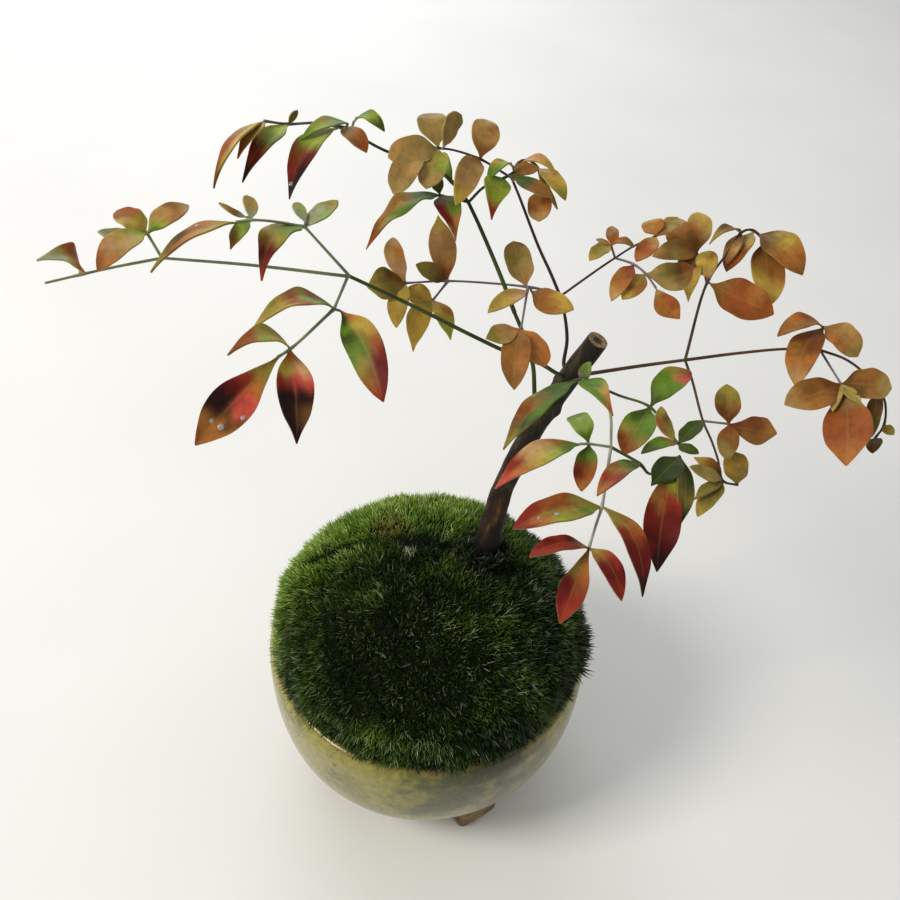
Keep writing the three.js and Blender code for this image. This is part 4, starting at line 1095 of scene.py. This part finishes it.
MIDDLE_LEAFLETS = [
    ((481, 158, 211), (485, 119, 215), 6.2, -0.5, 12, "oval", "brown tan tan/brown tan"),
    ((480, 160, 211), (456, 205, 201), 5.5, -0.8, -12, "oval", "brown tan tan gold"),
    ((440, 148, 204), (433, 113, 208), 5.9, 0.6, 15, "round", "khaki"),
    ((444, 148, 204), (462, 115, 207), 3.4, 0.9, 40, "round", "khaki"),
    ((437, 148, 204), (388, 157, 199), 5.7, -0.5, 20, "round", "khaki tan/khaki tan"),
    ((439, 150, 204), (426, 188, 199), 5.5, 0.2, 10, "round", "olive lime/khaki khaki"),
    ((420, 153, 203), (393, 194, 199), 5.5, -0.8, 15, "round", "khaki tan khaki"),
    ((521, 160, 217), (558, 176, 213), 2, 2.1, -52, "early", "orange orange/tan tan/gold gold"),
    ((541, 168, 216), (566, 200, 211), 3.2, 1.1, -40, "oval", "gold tan/gold gold olive"),
    ((534, 165, 216), (512, 181, 212), 2.7, -0.9, 35, "oval", "brown brown tan"),
    ((539, 170, 216), (558, 209, 212), 1.1, 0, -50, "oval", "khaki olive"),
    ((541, 191, 215), (539, 221, 212), 5.2, -0.1, 8, "round", "olive rust/orange orange/brown tan"),
    ((527, 284, 217), (513, 241, 221), 5.9, 0, 12, "round", "tan khaki olive/khaki khaki"),
    ((526, 291, 216), (488, 312, 206), 3.3, -0.7, 35, "oval", "peach peach/gold gold gold"),
    ((531, 291, 217), (574, 309, 213), 5.4, -0.6, -25, "oval", "brown orange/brown gold/orange gold"),
    ((519, 328, 204), (486, 338, 200), 4.2, 0, 28, "late", "orange tan tan olive"),
    ((521, 331, 204), (514, 390, 199), 6.1, -0.5, 8, "oval", "brown brown orange/brown brown"),
    ((522, 330, 204), (546, 366, 200), 4.4, 0.4, -30, "round", "orange orange/rust orange orange"),
    ((447, 279, 212), (438, 215, 216), 6, 0, 12, "pointed", "rust tan peach/tan gold"),
    ((447, 279, 212), (416, 264, 210), 3.7, -0.2, 25, "oval", "darkbrown darkolive darkolive"),
    ((432, 300, 210), (405, 290, 209), 4.4, -0.1, 30, "oval", "gold"),
    ((432, 302, 210), (413, 352, 206), 5, -1.5, -10, "pointed", "olive gold gold gold"),
    ((434, 301, 210), (451, 340, 207), 3.7, 0.9, -28, "pointed", "tan brown/gold olive lime"),
    ((406, 281, 208), (393, 237, 211), 4.1, 0.8, 18, "oval", "peach peach/tan tan/orange tan"),
    ((404, 283, 208), (367, 287, 204), 6.6, -0.4, 15, "late", "brown darkolive/darkbrown darkolive olive"),
    ((406, 285, 208), (396, 328, 205), 4.3, -0.8, 20, "oval", "olive gold gold gold"),
    ((611, 245, 225), (613, 226, 227), 3, -0.1, 15, "oval", "orange peach/orange peach"),
    ((612, 244, 225), (635, 247, 223), 1.4, 1.4, -55, "oval", "orange rust/brown brown darkolive"),
    ((610, 244, 225), (596, 239, 225), 0.9, -0.2, 45, "oval", "tan"),
    ((610, 245, 225), (589, 260, 222), 3.1, -0.6, 35, "oval", "tan gold/olive olive gold"),
    ((634, 265, 223), (611, 301, 219), 4.1, -0.6, 20, "oval", "red rust/orange orange tan"),
    ((645, 274, 222), (622, 299, 219), 4.5, 0, 15, "oval", "khaki brown/gold brown gold"),
    ((645, 274, 222), (693, 268, 224), 6.5, -1.5, -25, "oval",
     "khaki darkolive/khaki darkbrown/khaki rust/brown"),
    ((657, 289, 221), (680, 319, 218), 5, -0.6, -18, "late", "khaki rust/orange rust/orange orange"),
    ((657, 238, 227), (650, 220, 229), 5, -0.2, 10, "round", "orange tan/orange orange gold"),
    ((658, 238, 227), (636, 261, 223), 4, 0, 30, "oval", "khaki orange/rust rust orange"),
    ((657, 237, 227), (678, 217, 230), 3.6, 0, -30, "oval", "brown khaki khaki"),
]
RIGHT_STALKS = [
    (1.5, "brown", (572, 377, 226), (588, 374, 220), (640, 366, 221), (685, 360, 222)),
    (1.2, "brown", (685, 360, 222), (740, 353, 225), (786, 349, 227), (820, 350, 228)),
    (1, "brown", (820, 350, 228), (845, 359, 227), (862, 371, 226), (878, 388, 225),
     (885, 402, 224), (884, 425, 223), (875, 438, 222)),
    (1.1, "brown", (685, 360, 222), (707, 283, 231), (725, 256, 234),
     (742, 232, 237), (752, 230, 238), (765, 240, 238)),
    (0.9, "brown", (707, 283, 231), (703, 268, 234), (697, 253, 237)),
    (1, "brown", (685, 360, 222), (692, 380, 222), (703, 421, 222), (712, 442, 221),
     (718, 460, 220), (723, 481, 219), (738, 485, 219)),
    (0.9, "greyviolet", (703, 421, 222), (729, 424, 222)),
    (0.9, "brown", (820, 350, 228), (823, 326, 229)),
    (0.9, "greyviolet", (820, 350, 228), (841, 384, 224)),
]
RIGHT_LEAFLETS = [
    ((711, 284, 231), (774, 314, 227), 8.6, 0, -25, "oval", "brown rust orange/rust rust"),
    ((708, 278, 231), (700, 253, 233), 4.8, -1, -30, "round", "tan olive/gold gold/brown olive"),
    ((697, 253, 237), (698, 212, 241), 6, -0.5, 10, "oval", "brown orange/khaki tan/gold gold"),
    ((696, 253, 237), (675, 218, 240), 6.4, 1.2, 15, "oval", "brown rust/brown brown tan"),
    ((695, 254, 237), (652, 256, 233), 4.9, -1.2, 28, "oval", "brown brown khaki tan"),
    ((697, 255, 237), (688, 302, 232), 4.7, -0.7, 15, "pointed", "darkbrown brown gold gold"),
    ((696, 254, 237), (678, 277, 233), 4.2, -0.5, 20, "oval", "brown darkbrown brown"),
    ((741, 233, 237), (709, 244, 232), 2.1, -2.4, 58, "early", "darkbrown brown/darkbrown olive"),
    ((742, 233, 237), (727, 264, 233), 3.4, -0.5, 35, "oval", "brown brown tan/brown brown"),
    ((754, 231, 238), (726, 271, 233), 4.7, -0.7, 40, "oval", "khaki gold/brown rust/darkbrown rust"),
    ((759, 233, 238), (803, 275, 231), 7.1, 1.9, -30, "oval",
     "darkbrown khaki/darkbrown gold/brown orange brown"),
    ((766, 241, 238), (773, 303, 231), 7.6, -0.2, -20, "oval", "darkbrown brown brown/gold gold"),
    ((821, 327, 229), (777, 336, 224), 3.5, -2.6, 50, "oval", "rust brown/rust brown/orange brown"),
    ((822, 328, 229), (795, 386, 223), 7.1, -1.8, 20, "oval", "darkrust darkrust darkrust/brown orange tan"),
    ((825, 327, 229), (858, 357, 225), 5.9, 1.4, -32, "round", "brown tan/orange tan/orange khaki"),
    ((840, 384, 224), (785, 404, 219), 7.4, 0.1, 28, "oval", "darkrust brown orange/brown tan"),
    ((842, 386, 224), (846, 466, 216), 10.3, 0.9, 8, "late", "darkbrown khaki/darkrust rust rust orange"),
    ((843, 384, 224), (892, 388, 220), 6.6, 0.6, -36, "round", "darkbrown brown/darkbrown brown khaki"),
    ((842, 385, 224), (861, 403, 218), 2.1, 0, -50, "oval", "paleolive gold paleolive"),
    ((841, 386, 224), (832, 411, 219), 1.9, 0, 45, "oval", "gold paleolive"),
    ((878, 389, 225), (871, 437, 222), 3.3, -0.2, 35, "oval", "darkbrown darkbrown darkolive"),
    ((884, 425, 223), (894, 435, 221), 2.2, 0, -30, "oval", "darkolive olive"),
    ((876, 438, 222), (872, 453, 219), 3.2, 0, 25, "oval", "deepgreen darkbrown darkbrown"),
    ((729, 423, 222), (727, 384, 226), 5.8, 0, 10, "oval", "darkrust darkbrown/brown darkolive/olive olive"),
    ((730, 424, 222), (777, 433, 218), 6.2, -0.3, -30, "late",
     "darkrust darkrust/brown darkrust/brown brown"),
    ((729, 426, 222), (727, 460, 218), 4.8, 0, 12, "oval", "rust brown brown/khaki khaki"),
    ((738, 484, 219), (736, 452, 222), 5.4, 0.2, 12, "round", "olive gold/khaki gold khaki"),
    ((722, 479, 219), (694, 457, 221), 3.2, -0.7, 35, "pointed", "darkbrown brown gold"),
    ((722, 480, 219), (690, 466, 216), 2.7, 0, 35, "oval", "paleolive"),
    ((722, 482, 219), (694, 499, 214), 2.5, -0.5, 40, "pointed", "darkolive olive olive"),
    ((723, 482, 219), (697, 516, 213), 3.8, -0.3, 35, "oval", "darkolive olive/darkolive olive gold"),
]
FRONT_STALKS = [
    (1.5, "darkgreen", (567, 383, 227), (576, 380, 219), (583, 380, 213)),
    (1.1, "greygreen", (583, 380, 213), (600, 390, 207), (610, 412, 199), (611, 447, 190)),
    (1, "lilac", (611, 447, 190), (606, 480, 183), (602, 506, 178), (595, 528, 175), (589, 548, 172)),
    (1, "darkgreen", (583, 380, 213), (618, 395, 207), (650, 407, 201), (666, 428, 197), (678, 444, 195)),
    (0.9, "greygreen", (611, 447, 190), (589, 444, 186), (579, 444, 184)),
    (1, "darkgreen", (611, 447, 190), (640, 464, 189), (650, 474, 187), (668, 466, 187), (680, 456, 188)),
]
FRONT_LEAFLETS = [
    ((575, 381, 215), (503, 449, 198), 4.5, -1.9, 45, "pointed",
     "green green green/olive green/rust deepgreen/brown olive"),
    ((584, 380, 213), (613, 415, 196), 4.6, 1.2, -30, "early",
     "green green green gold/green orange/green rust"),
    ((577, 379, 215), (590, 362, 211), 2.7, 0, -25, "oval", "sage palegreen palegreen"),
    ((652, 406, 201), (691, 371, 204), 5.5, 1.4, -28, "oval",
     "deepgreen green green olive/scarlet brown/red"),
    ((649, 408, 201), (624, 454, 194), 6.6, -0.2, 20, "oval",
     "deepgreen green/deepgreen green green/olive olive/rust rust"),
    ((675, 442, 195), (661, 406, 199), 2.7, 0.8, 35, "oval", "olive brown/darkolive brown/darkbrown olive"),
    ((679, 443, 195), (702, 420, 198), 3.1, 0.2, -35, "oval", "deepgreen"),
    ((675, 445, 195), (641, 453, 190), 2.2, -1.1, 45, "oval", "brown green deepgreen"),
    ((680, 446, 195), (699, 453, 192), 1.8, 0, -45, "oval", "deepgreen"),
    ((589, 443, 186), (571, 416, 190), 3.9, -1.1, 25, "round", "green palegreen palegreen green"),
    ((579, 444, 184), (495, 488, 173), 4.5, -1.9, 38, "pointed",
     "green green/orange lime/peach gold/peach orange/red scarlet"),
    ((589, 446, 186), (581, 491, 181), 4.2, 0, 15, "oval", "deepgreen green brown/rust rust/red orange"),
    ((640, 464, 189), (597, 495, 174), 3.3, -1.5, 38, "oval",
     "deepgreen deepgreen deepgreen/green darkolive/brown darkrust/brown red orange"),
    ((600, 507, 178), (513, 528, 168), 5, -1.5, 40, "oval",
     "olive green/olive olive/rust lime/rust orange/red red"),
    ((604, 507, 178), (643, 597, 170), 3.9, 2.9, -35, "pointed",
     "olive brown/olive rust/red crimson crimson black"),
    ((588, 548, 172), (529, 556, 165), 2.6, -1.6, 50, "oval", "brown red/crimson red red/crimson red"),
    ((592, 549, 172), (622, 601, 166), 3.5, 1.6, -28, "oval", "olive rust/brown red/crimson crimson red"),
    ((589, 549, 172), (560, 623, 165), 4.7, 0, 10, "late",
     "brown orange/darkolive rust/crimson red/crimson red"),
    ((676, 457, 188), (657, 572, 179), 6.7, -0.7, -10, "late",
     "darkgreen lime/deepgreen red/brown crimson crimson black"),
    ((680, 456, 188), (651, 485, 183), 5, 0, 25, "pointed", "darkgreen"),
    ((682, 456, 188), (678, 529, 182), 3.1, 1.3, -38, "pointed",
     "darkgreen darkgreen/darkolive darkolive darkgreen"),
]

# %% Leaf colours
LEAF_COLOURS = {
    "palegreen": linear("#7d954a"),
    "green": linear("#55741c"),
    "deepgreen": linear("#34480e"),
    "darkgreen": linear("#2a3a10"),
    "lime": linear("#869630"),
    "olive": linear("#897f34"),
    "darkolive": linear("#6e662b"),
    "paleolive": linear("#a89654"),
    "gold": linear("#aa913e"),
    "khaki": linear("#947f46"),
    "tan": linear("#a3824b"),
    "peach": linear("#b89468"),
    "brown": linear("#865c28"),
    "darkbrown": linear("#5c3f18"),
    "orange": linear("#a0672e"),
    "rust": linear("#8c4c20"),
    "darkrust": linear("#6f3f1a"),
    "red": linear("#822a1a"),
    "scarlet": linear("#b84d40"),
    "crimson": linear("#5e1611"),
    "black": linear("#200c0e"),
    "sage": linear("#949e7c"),
}
print(len(LEAF_COLOURS), "leaf colours")

# %% [markdown]
# ## Leaflets
# A nandina leaflet is a thin leathery blade, folded a little along its midrib, with a wavy edge and a fine
# point. Each one starts as a grid, whose points are moved to the blade's outline along the line from foot to
# tip, and a solidify gives it thickness. Attributes keep how far across each point is, for the midrib, which
# points are on the underside, and each point's own colour.

# %% Leaflet shape
OUTLINE_STATIONS = [0, 0.07, 0.26, 0.5, 0.73, 0.9, 1]
OUTLINES = {
    "pointed": [0.05, 0.2, 0.8, 1, 0.74, 0.25, 0.02],
    "oval": [0.05, 0.18, 0.82, 1, 0.86, 0.46, 0.02],
    "round": [0.05, 0.18, 0.84, 1, 0.96, 0.66, 0.03],
    "late": [0.05, 0.12, 0.52, 0.97, 0.95, 0.42, 0.02],
    "lance": [0.05, 0.12, 0.5, 0.98, 0.9, 0.42, 0.02],
    "nearest": [0.06, 0.42, 1, 0.84, 0.52, 0.22, 0.02],
    "early": [0.06, 0.26, 0.98, 0.9, 0.5, 0.17, 0.02],
    "ruffled": [0.06, 0.28, 0.94, 0.94, 0.6, 0.2, 0.02],
}
BLADE_THICKNESS = 0.34
STEEPEST_TILT = 68
LEAST_ARCH = 0.8
MOST_ARCH = 2.6
CELLS_ALONG = 26
CELLS_ACROSS = 8
FOLD = 0.16
RUFFLE = 0.26
RUFFLES = 15
SMOOTH_RIPPLE = (0.03, 0.09)
MOST_TWIST = 9
LEAST_SHARE = 0.015
ROUNDING = 1e-6
NEAR_STALK = 0.9
leaf_random = random.Random(11)


def share_at(outline, at):
    """The half width at a place along the blade, smooth between the outline's stations."""
    values = OUTLINES[outline]
    last = len(values) - 1
    i = next((i for i in range(last) if at <= OUTLINE_STATIONS[i + 1] + ROUNDING), last)
    if i == last:
        return LEAST_SHARE
    start, end = OUTLINE_STATIONS[i : i + 2]
    slopes = []
    for first, second in ((max(i - 1, 0), i + 1), (i, min(i + 2, last))):
        run = OUTLINE_STATIONS[second] - OUTLINE_STATIONS[first]
        slopes.append((values[second] - values[first]) / run * (end - start))
    share = eased(values[i], slopes[0], values[i + 1], slopes[1], (at - start) / (end - start))
    return max(LEAST_SHARE, share)


def leaf_colour(words, at, side, seed):
    """The blade's colour from its stations, which meet along it and across it in ragged lines."""
    stations = [[Vector(LEAF_COLOURS[name]) for name in word.split("/")] for word in words.split()]
    ragged = noise.noise(Vector((at * 3.1, side * 1.7, seed)))
    half = min(max(0.5 + (side + ragged * 0.45) * 1.5, 0), 1)
    wander = noise.noise(Vector((at * 4, side * 2.4, seed + 9)))
    place = (at + wander * 0.1) * len(stations) - 0.5
    place = min(max(place, 0), len(stations) - 1)
    first = int(place)
    second = min(first + 1, len(stations) - 1)
    share = place - first
    share = share * share * (3 - 2 * share)
    near, far = (pair[-1].lerp(pair[0], half) for pair in (stations[first], stations[second]))
    return near.lerp(far, share)


def leaflet(row, foot, seed):
    """One blade as a bmesh of its own, with its attributes."""
    start, end, width, lean, tilt, outline, words = row
    base = seen(start)
    if (foot - base).length < NEAR_STALK * MM:
        base = foot
    tip = seen(end)
    along = tip - base
    sight = (EYE - (base + tip) / 2).normalized()
    left = -along.cross(sight).normalized()
    to_viewer = left.cross(along.normalized()).normalized()
    if to_viewer.dot(sight) < 0:
        to_viewer = -to_viewer
    angle = math.radians(min(max(tilt, -STEEPEST_TILT), STEEPEST_TILT))
    across = left * math.cos(angle) + to_viewer * math.sin(angle)
    face = to_viewer * math.cos(angle) - left * math.sin(angle)
    arch = min(MOST_ARCH, max(LEAST_ARCH, abs(lean) / max(0.2, abs(math.tan(angle)))))
    half_width = width / 2 / math.cos(angle) * MM
    bm = bmesh.new()
    across_layer = bm.verts.layers.float.new("across")
    under_layer = bm.verts.layers.float.new("under")
    hue_layer = bm.verts.layers.float_color.new("hue")
    bmesh.ops.create_grid(bm, x_segments=CELLS_ALONG, y_segments=CELLS_ACROSS, size=1)
    ripple_phase = leaf_random.uniform(0, 6)
    ripple = RUFFLE if outline == "ruffled" else leaf_random.uniform(*SMOOTH_RIPPLE)
    twist = math.radians(leaf_random.uniform(-MOST_TWIST, MOST_TWIST))
    for vert in bm.verts:
        at = (vert.co.x + 1) / 2
        at += 0.12 * (math.sin(math.pi * at) * (at - 0.5))
        side = vert.co.y
        bow = 4 * at * (1 - at)
        centre = base + along * at + (left * lean + to_viewer * arch) * bow * MM
        half = half_width * share_at(outline, at)
        turn = twist * (at - 0.4)
        flat = across * math.cos(turn) + face * math.sin(turn)
        lift = face * math.cos(turn) - across * math.sin(turn)
        rise = FOLD * (abs(side) ** 1.3 - 0.45) * half
        phase = at * RUFFLES + ripple_phase + (1.4 if side > 0 else 0)
        wave = ripple * half_width * side * side * math.sin(phase)
        vert.co = centre + flat * side * half + lift * (rise + wave * math.sin(math.pi * at))
        vert[across_layer] = side
        vert[hue_layer] = leaf_colour(words, at, side, seed)
    first_side = set(bm.verts)
    bm.normal_update()
    if sum((f.normal for f in bm.faces), Vector()).dot(sight) < 0:
        bmesh.ops.reverse_faces(bm, faces=bm.faces)
    bmesh.ops.solidify(bm, geom=bm.faces[:], thickness=BLADE_THICKNESS * MM)
    second_side = [vert for vert in bm.verts if vert not in first_side]
    lift_first = sum(vert.co.dot(sight) for vert in first_side) / len(first_side)
    lift_second = sum(vert.co.dot(sight) for vert in second_side) / len(second_side)
    for vert in first_side if lift_first < lift_second else second_side:
        vert[under_layer] = 1
    bmesh.ops.recalc_face_normals(bm, faces=bm.faces)
    return bm


def nearest_on(stalks, point):
    """The place on a frond's stalks nearest to a leaflet's foot."""
    places = []
    for stalk in stalks:
        spots = [seen(spot) for spot in stalk[2:]]
        for a, b in zip(spots, spots[1:]):
            reach = min(max((point - a).dot(b - a) / (b - a).length_squared, 0), 1)
            places.append(a.lerp(b, reach))
    return min(places, key=lambda place: (place - point).length)


# %% Leaf finish
def leathery_leaf(name):
    """Leathery nandina leaf that light passes through: the blade's own colours, clouds, a faint midrib."""
    material, tree = new_finish(name)
    place = add(tree, "TexCoord").outputs["Object"]
    hue = add(tree, "Attribute", attribute_name="hue").outputs["Color"]
    across = add(tree, "Attribute", attribute_name="across").outputs["Fac"]
    under = add(tree, "Attribute", attribute_name="under").outputs["Fac"]
    flecks = add(tree, "TexNoise", {"Vector": place, "Scale": 700, "Detail": 4, "Roughness": 0.65})
    cloud = add(tree, "TexNoise", {"Vector": place, "Scale": 210, "Detail": 3})
    off_middle = add(tree, "Math", {0: across}, operation="ABSOLUTE")
    midrib = add(
        tree, "MapRange", {"Value": off_middle, "From Min": 0.02, "From Max": 0.1, "To Min": 1, "To Max": 0}
    )
    darker = add(
        tree, "ValToRGB", {"Fac": flecks},
        [(0.32, (0.6, 0.58, 0.55, 1)), (0.5, WHITE), (0.72, (1.22, 1.2, 1.15, 1))],
    )
    flecked = add(
        tree, "Mix", {MIX_FACTOR: 0.5, MIX_A: hue, MIX_B: darker}, data_type="RGBA", blend_type="MULTIPLY"
    )
    cloudy = add(
        tree, "ValToRGB", {"Fac": cloud}, [(0.35, (0.72, 0.68, 0.66, 1)), (0.65, (1.14, 1.12, 1.05, 1))]
    )
    clouded = add(
        tree, "Mix", {MIX_FACTOR: 0.7, MIX_A: flecked, MIX_B: cloudy}, data_type="RGBA", blend_type="MULTIPLY"
    )
    rib_share = add(tree, "Math", {0: midrib, 1: 0.08}, operation="MULTIPLY")
    ribbed = add(
        tree, "Mix", {MIX_FACTOR: rib_share, MIX_A: clouded, MIX_B: linear("#c2aa66")}, data_type="RGBA"
    )
    under_share = add(tree, "Math", {0: under, 1: 0.35}, operation="MULTIPLY")
    colour = add(
        tree, "Mix", {MIX_FACTOR: under_share, MIX_A: ribbed, MIX_B: linear("#93916a")}, data_type="RGBA"
    )
    relief = add(tree, "Bump", {"Height": midrib, "Strength": 0.1, "Distance": 0.0003})
    skin = add(tree, "Bump", {"Height": flecks, "Strength": 0.12, "Distance": 0.0003, "Normal": relief})
    shader = add(
        tree, "BsdfPrincipled",
        {"Base Color": colour, "Roughness": 0.52, "IOR": 1.45, "Specular IOR Level": 0.16,
         "Subsurface Weight": 0.35, "Subsurface Scale": 0.0012, "Subsurface Radius": (1, 0.7, 0.25),
         "Normal": skin},
    )
    add(tree, "OutputMaterial", {"Surface": shader})
    return material


# %% Stalk finish
STALK_COLOURS = {
    "darkgreen": linear("#36440e"),
    "greygreen": linear("#8b9370"),
    "purple": linear("#3c2826"),
    "greyviolet": linear("#6f6468"),
    "brown": linear("#4a3420"),
    "lilac": linear("#989890"),
}


def smooth_stalk(name):
    """Smooth green, brown or purple leaf stalks in their own colours, darker in streaks."""
    material, tree = new_finish(name)
    place = add(tree, "TexCoord").outputs["Object"]
    hue = add(tree, "Attribute", attribute_name="hue").outputs["Color"]
    streak = add(tree, "TexNoise", {"Vector": place, "Scale": 150, "Detail": 3})
    shade = add(tree, "ValToRGB", {"Fac": streak}, [(0.36, (0.7, 0.7, 0.7, 1)), (0.64, (1.2, 1.2, 1.15, 1))])
    colour = add(
        tree, "Mix", {MIX_FACTOR: 1, MIX_A: hue, MIX_B: shade}, data_type="RGBA", blend_type="MULTIPLY"
    )
    fine = add(tree, "TexNoise", {"Vector": place, "Scale": 1800})
    skin = add(tree, "Bump", {"Height": fine, "Strength": 0.25, "Distance": 0.0002})
    shader = add(
        tree, "BsdfPrincipled",
        {"Base Color": colour, "Roughness": 0.45, "Specular IOR Level": 0.3, "Normal": skin},
    )
    add(tree, "OutputMaterial", {"Surface": shader})
    return material


# %% [markdown]
# ## Build the fronds
# Stalks are swept rings with a taper and a small swelling where leaflets meet. All blades of a frond are one
# piece and all its stalks another, because they differ in finish but never move apart.

# %% Fronds
STALK_SIDES = 10
STALK_SHARE = 0.66
STALK_TAPER = 0.25
NODE_SWELLING = 0.35
SWELLING_LENGTH = 1.1
PETIOLULE_RADIUS = 0.27
SEED_STEP = 3.7
FRONDS = {
    "left": (LEFT_STALKS, LEFT_LEAFLETS, "leaves_orange"),
    "upper": (UPPER_STALKS, UPPER_LEAFLETS, "leaves_green"),
    "middle": (MIDDLE_STALKS, MIDDLE_LEAFLETS, "leaves_tan"),
    "right": (RIGHT_STALKS, RIGHT_LEAFLETS, "leaves_brown"),
    "front": (FRONT_STALKS, FRONT_LEAFLETS, "leaves_green"),
}


def paint(rings, layer, colour):
    """Gives each point of swept rings a colour."""
    for ring in rings:
        for vert in ring:
            vert[layer] = colour


blade_trees = []
for frond, (stalks, leaflets, slot) in FRONDS.items():
    feet = [nearest_on(stalks, seen(row[0])) for row in leaflets]
    stalk_mesh = bmesh.new()
    hue_layer = stalk_mesh.verts.layers.float_color.new("hue")
    for diameter, word, *points in stalks:
        path = smooth_path([seen(point) for point in points])
        radii = []
        for i, spot in enumerate(path):
            near = min((spot - foot).length for foot in feet) / (SWELLING_LENGTH * MM)
            taper = 1 - STALK_TAPER * i / (len(path) - 1)
            swelling = 1 + NODE_SWELLING * math.exp(-near * near)
            radii.append(diameter / 2 * STALK_SHARE * MM * taper * swelling)
        paint(swept(stalk_mesh, path, radii, STALK_SIDES), hue_layer, STALK_COLOURS[word])
    for row, foot in zip(leaflets, feet):
        base = seen(row[0])
        if (foot - base).length >= NEAR_STALK * MM:
            path = [foot, foot.lerp(base, 0.5), base]
            rings = swept(stalk_mesh, path, [PETIOLULE_RADIUS * MM] * 3, STALK_SIDES)
            paint(rings, hue_layer, STALK_COLOURS["greyviolet"])
    bmesh.ops.recalc_face_normals(stalk_mesh, faces=stalk_mesh.faces)
    blades = bmesh.new()
    for number, (row, foot) in enumerate(zip(leaflets, feet)):
        pour(to_mesh("blade", leaflet(row, foot, number * SEED_STEP)), blades)
    blade_trees.append(BVHTree.FromBMesh(blades))
    node = frond + "_frond"
    finished(node + "_stalks", stalk_mesh, smooth_stalk(frond + " frond's smooth stalk"), node)
    finished(node + "_leaflets", blades, leathery_leaf(frond + " frond's leathery leaf"), node)

# %% [markdown]
# ## Drops of water
# A few small drops are left on the leaflets from watering. A drop is a low dome, so each one starts as an
# icosphere that is pressed flat along the leaf's normal. It sits where the ray through its picture point
# meets the first blade. Water has an IOR of 1.33; here only part of the light passes through, and the rest
# is a near-white diffuse colour, a painted highlight that makes each drop show as a white glint.

# %% Water drops
DROPS = [
    (221, 427, 1.3), (212, 421, 0.9), (243, 418, 1), (557, 514, 1), (539, 518, 0.8), (534, 396, 0.8),
    (291, 184, 1), (197, 226, 0.8),
]
DROP_RISE = 0.5


def water_with_painted_glint():
    """Water, hardly rippled by the leaf's own grain of about 0.3 mm, made partly near-white as a painted
    highlight.
    """
    material, tree = new_finish("water with painted glint")
    place = add(tree, "TexCoord").outputs["Object"]
    grain = add(tree, "TexNoise", {"Vector": place, "Scale": 3000, "Detail": 1})
    ripple = add(tree, "Bump", {"Height": grain, "Strength": 0.05, "Distance": 0.0001})
    # Painted highlight: transmission is only 0.78, so the near-white base colour shows as a white glint on
    # each drop.
    shader = add(
        tree, "BsdfPrincipled",
        {"Base Color": linear("#fbfdfd"), "Roughness": 0.03, "IOR": 1.33, "Transmission Weight": 0.78,
         "Normal": ripple},
    )
    add(tree, "OutputMaterial", {"Surface": shader})
    return material


drops_mesh = bmesh.new()
for across, down, size in DROPS:
    sight = (seen((across, down, 100)) - EYE).normalized()
    hits = [hit for hit in (tree.ray_cast(EYE, sight) for tree in blade_trees) if hit[0]]
    place, normal = min(hits, key=lambda hit: hit[3])[:2]
    up = -normal if normal.dot(sight) > 0 else normal
    shape = up.to_track_quat("Z", "Y").to_matrix().to_4x4() @ Matrix.Diagonal((1, 1, DROP_RISE, 1))
    bmesh.ops.create_icosphere(
        drops_mesh, subdivisions=3, radius=size / 2 * MM, matrix=Matrix.Translation(place) @ shape
    )
finished("water_drops", drops_mesh, water_with_painted_glint(), "front_frond")

# %% [markdown]
# ## Floor and light
# The plant stands on a plain pale table in soft window light from behind and from the left.

# %% Stage
FLOOR_SIZE = 4
floor_mesh = bmesh.new()
bmesh.ops.create_grid(floor_mesh, x_segments=2, y_segments=2, size=FLOOR_SIZE / 2)
floor_finish, floor_tree = new_finish("pale matt table top")
floor_place = add(floor_tree, "TexCoord").outputs["Object"]
floor_cloud = add(floor_tree, "TexNoise", {"Vector": floor_place, "Scale": 9, "Detail": 2})
floor_colour = add(
    floor_tree, "ValToRGB", {"Fac": floor_cloud}, [(0.3, linear("#e4e4e1")), (0.7, linear("#e9e9e6"))]
)
floor_shader = add(floor_tree, "BsdfPrincipled", {"Base Color": floor_colour, "Roughness": 0.6})
add(floor_tree, "OutputMaterial", {"Surface": floor_shader})
floor = to_object("floor", floor_mesh, floor_finish)


def soft_light(name, place, target, size, power, colour):
    """A large square area light that looks at a target."""
    data = bpy.data.lights.new(name, "AREA")
    data.size = size
    data.energy = power
    data.color = linear(colour)[:3]
    lamp = bpy.data.objects.new(name, data)
    lamp.location = place
    lamp.rotation_mode = "QUATERNION"
    lamp.rotation_quaternion = (Vector(place) - Vector(target)).to_track_quat("Z", "Y")
    bpy.context.scene.collection.objects.link(lamp)


soft_light("key", (-0.62, -0.3, 0.72), (0, 0, 0.05), 0.3, 6, "#fffaf2")
soft_light("window", (-0.3, 0.85, 0.55), (0, 0, 0.1), 0.8, 4.5, "#fbfbff")
world = bpy.data.worlds.new("soft room")
world.use_nodes = True
world.node_tree.nodes["Background"].inputs["Color"].default_value = linear("#fbfcfc")
world.node_tree.nodes["Background"].inputs["Strength"].default_value = 0.48
bpy.context.scene.world = world
bpy.context.scene.view_settings.view_transform = "Standard"
print("stage and lights are set")
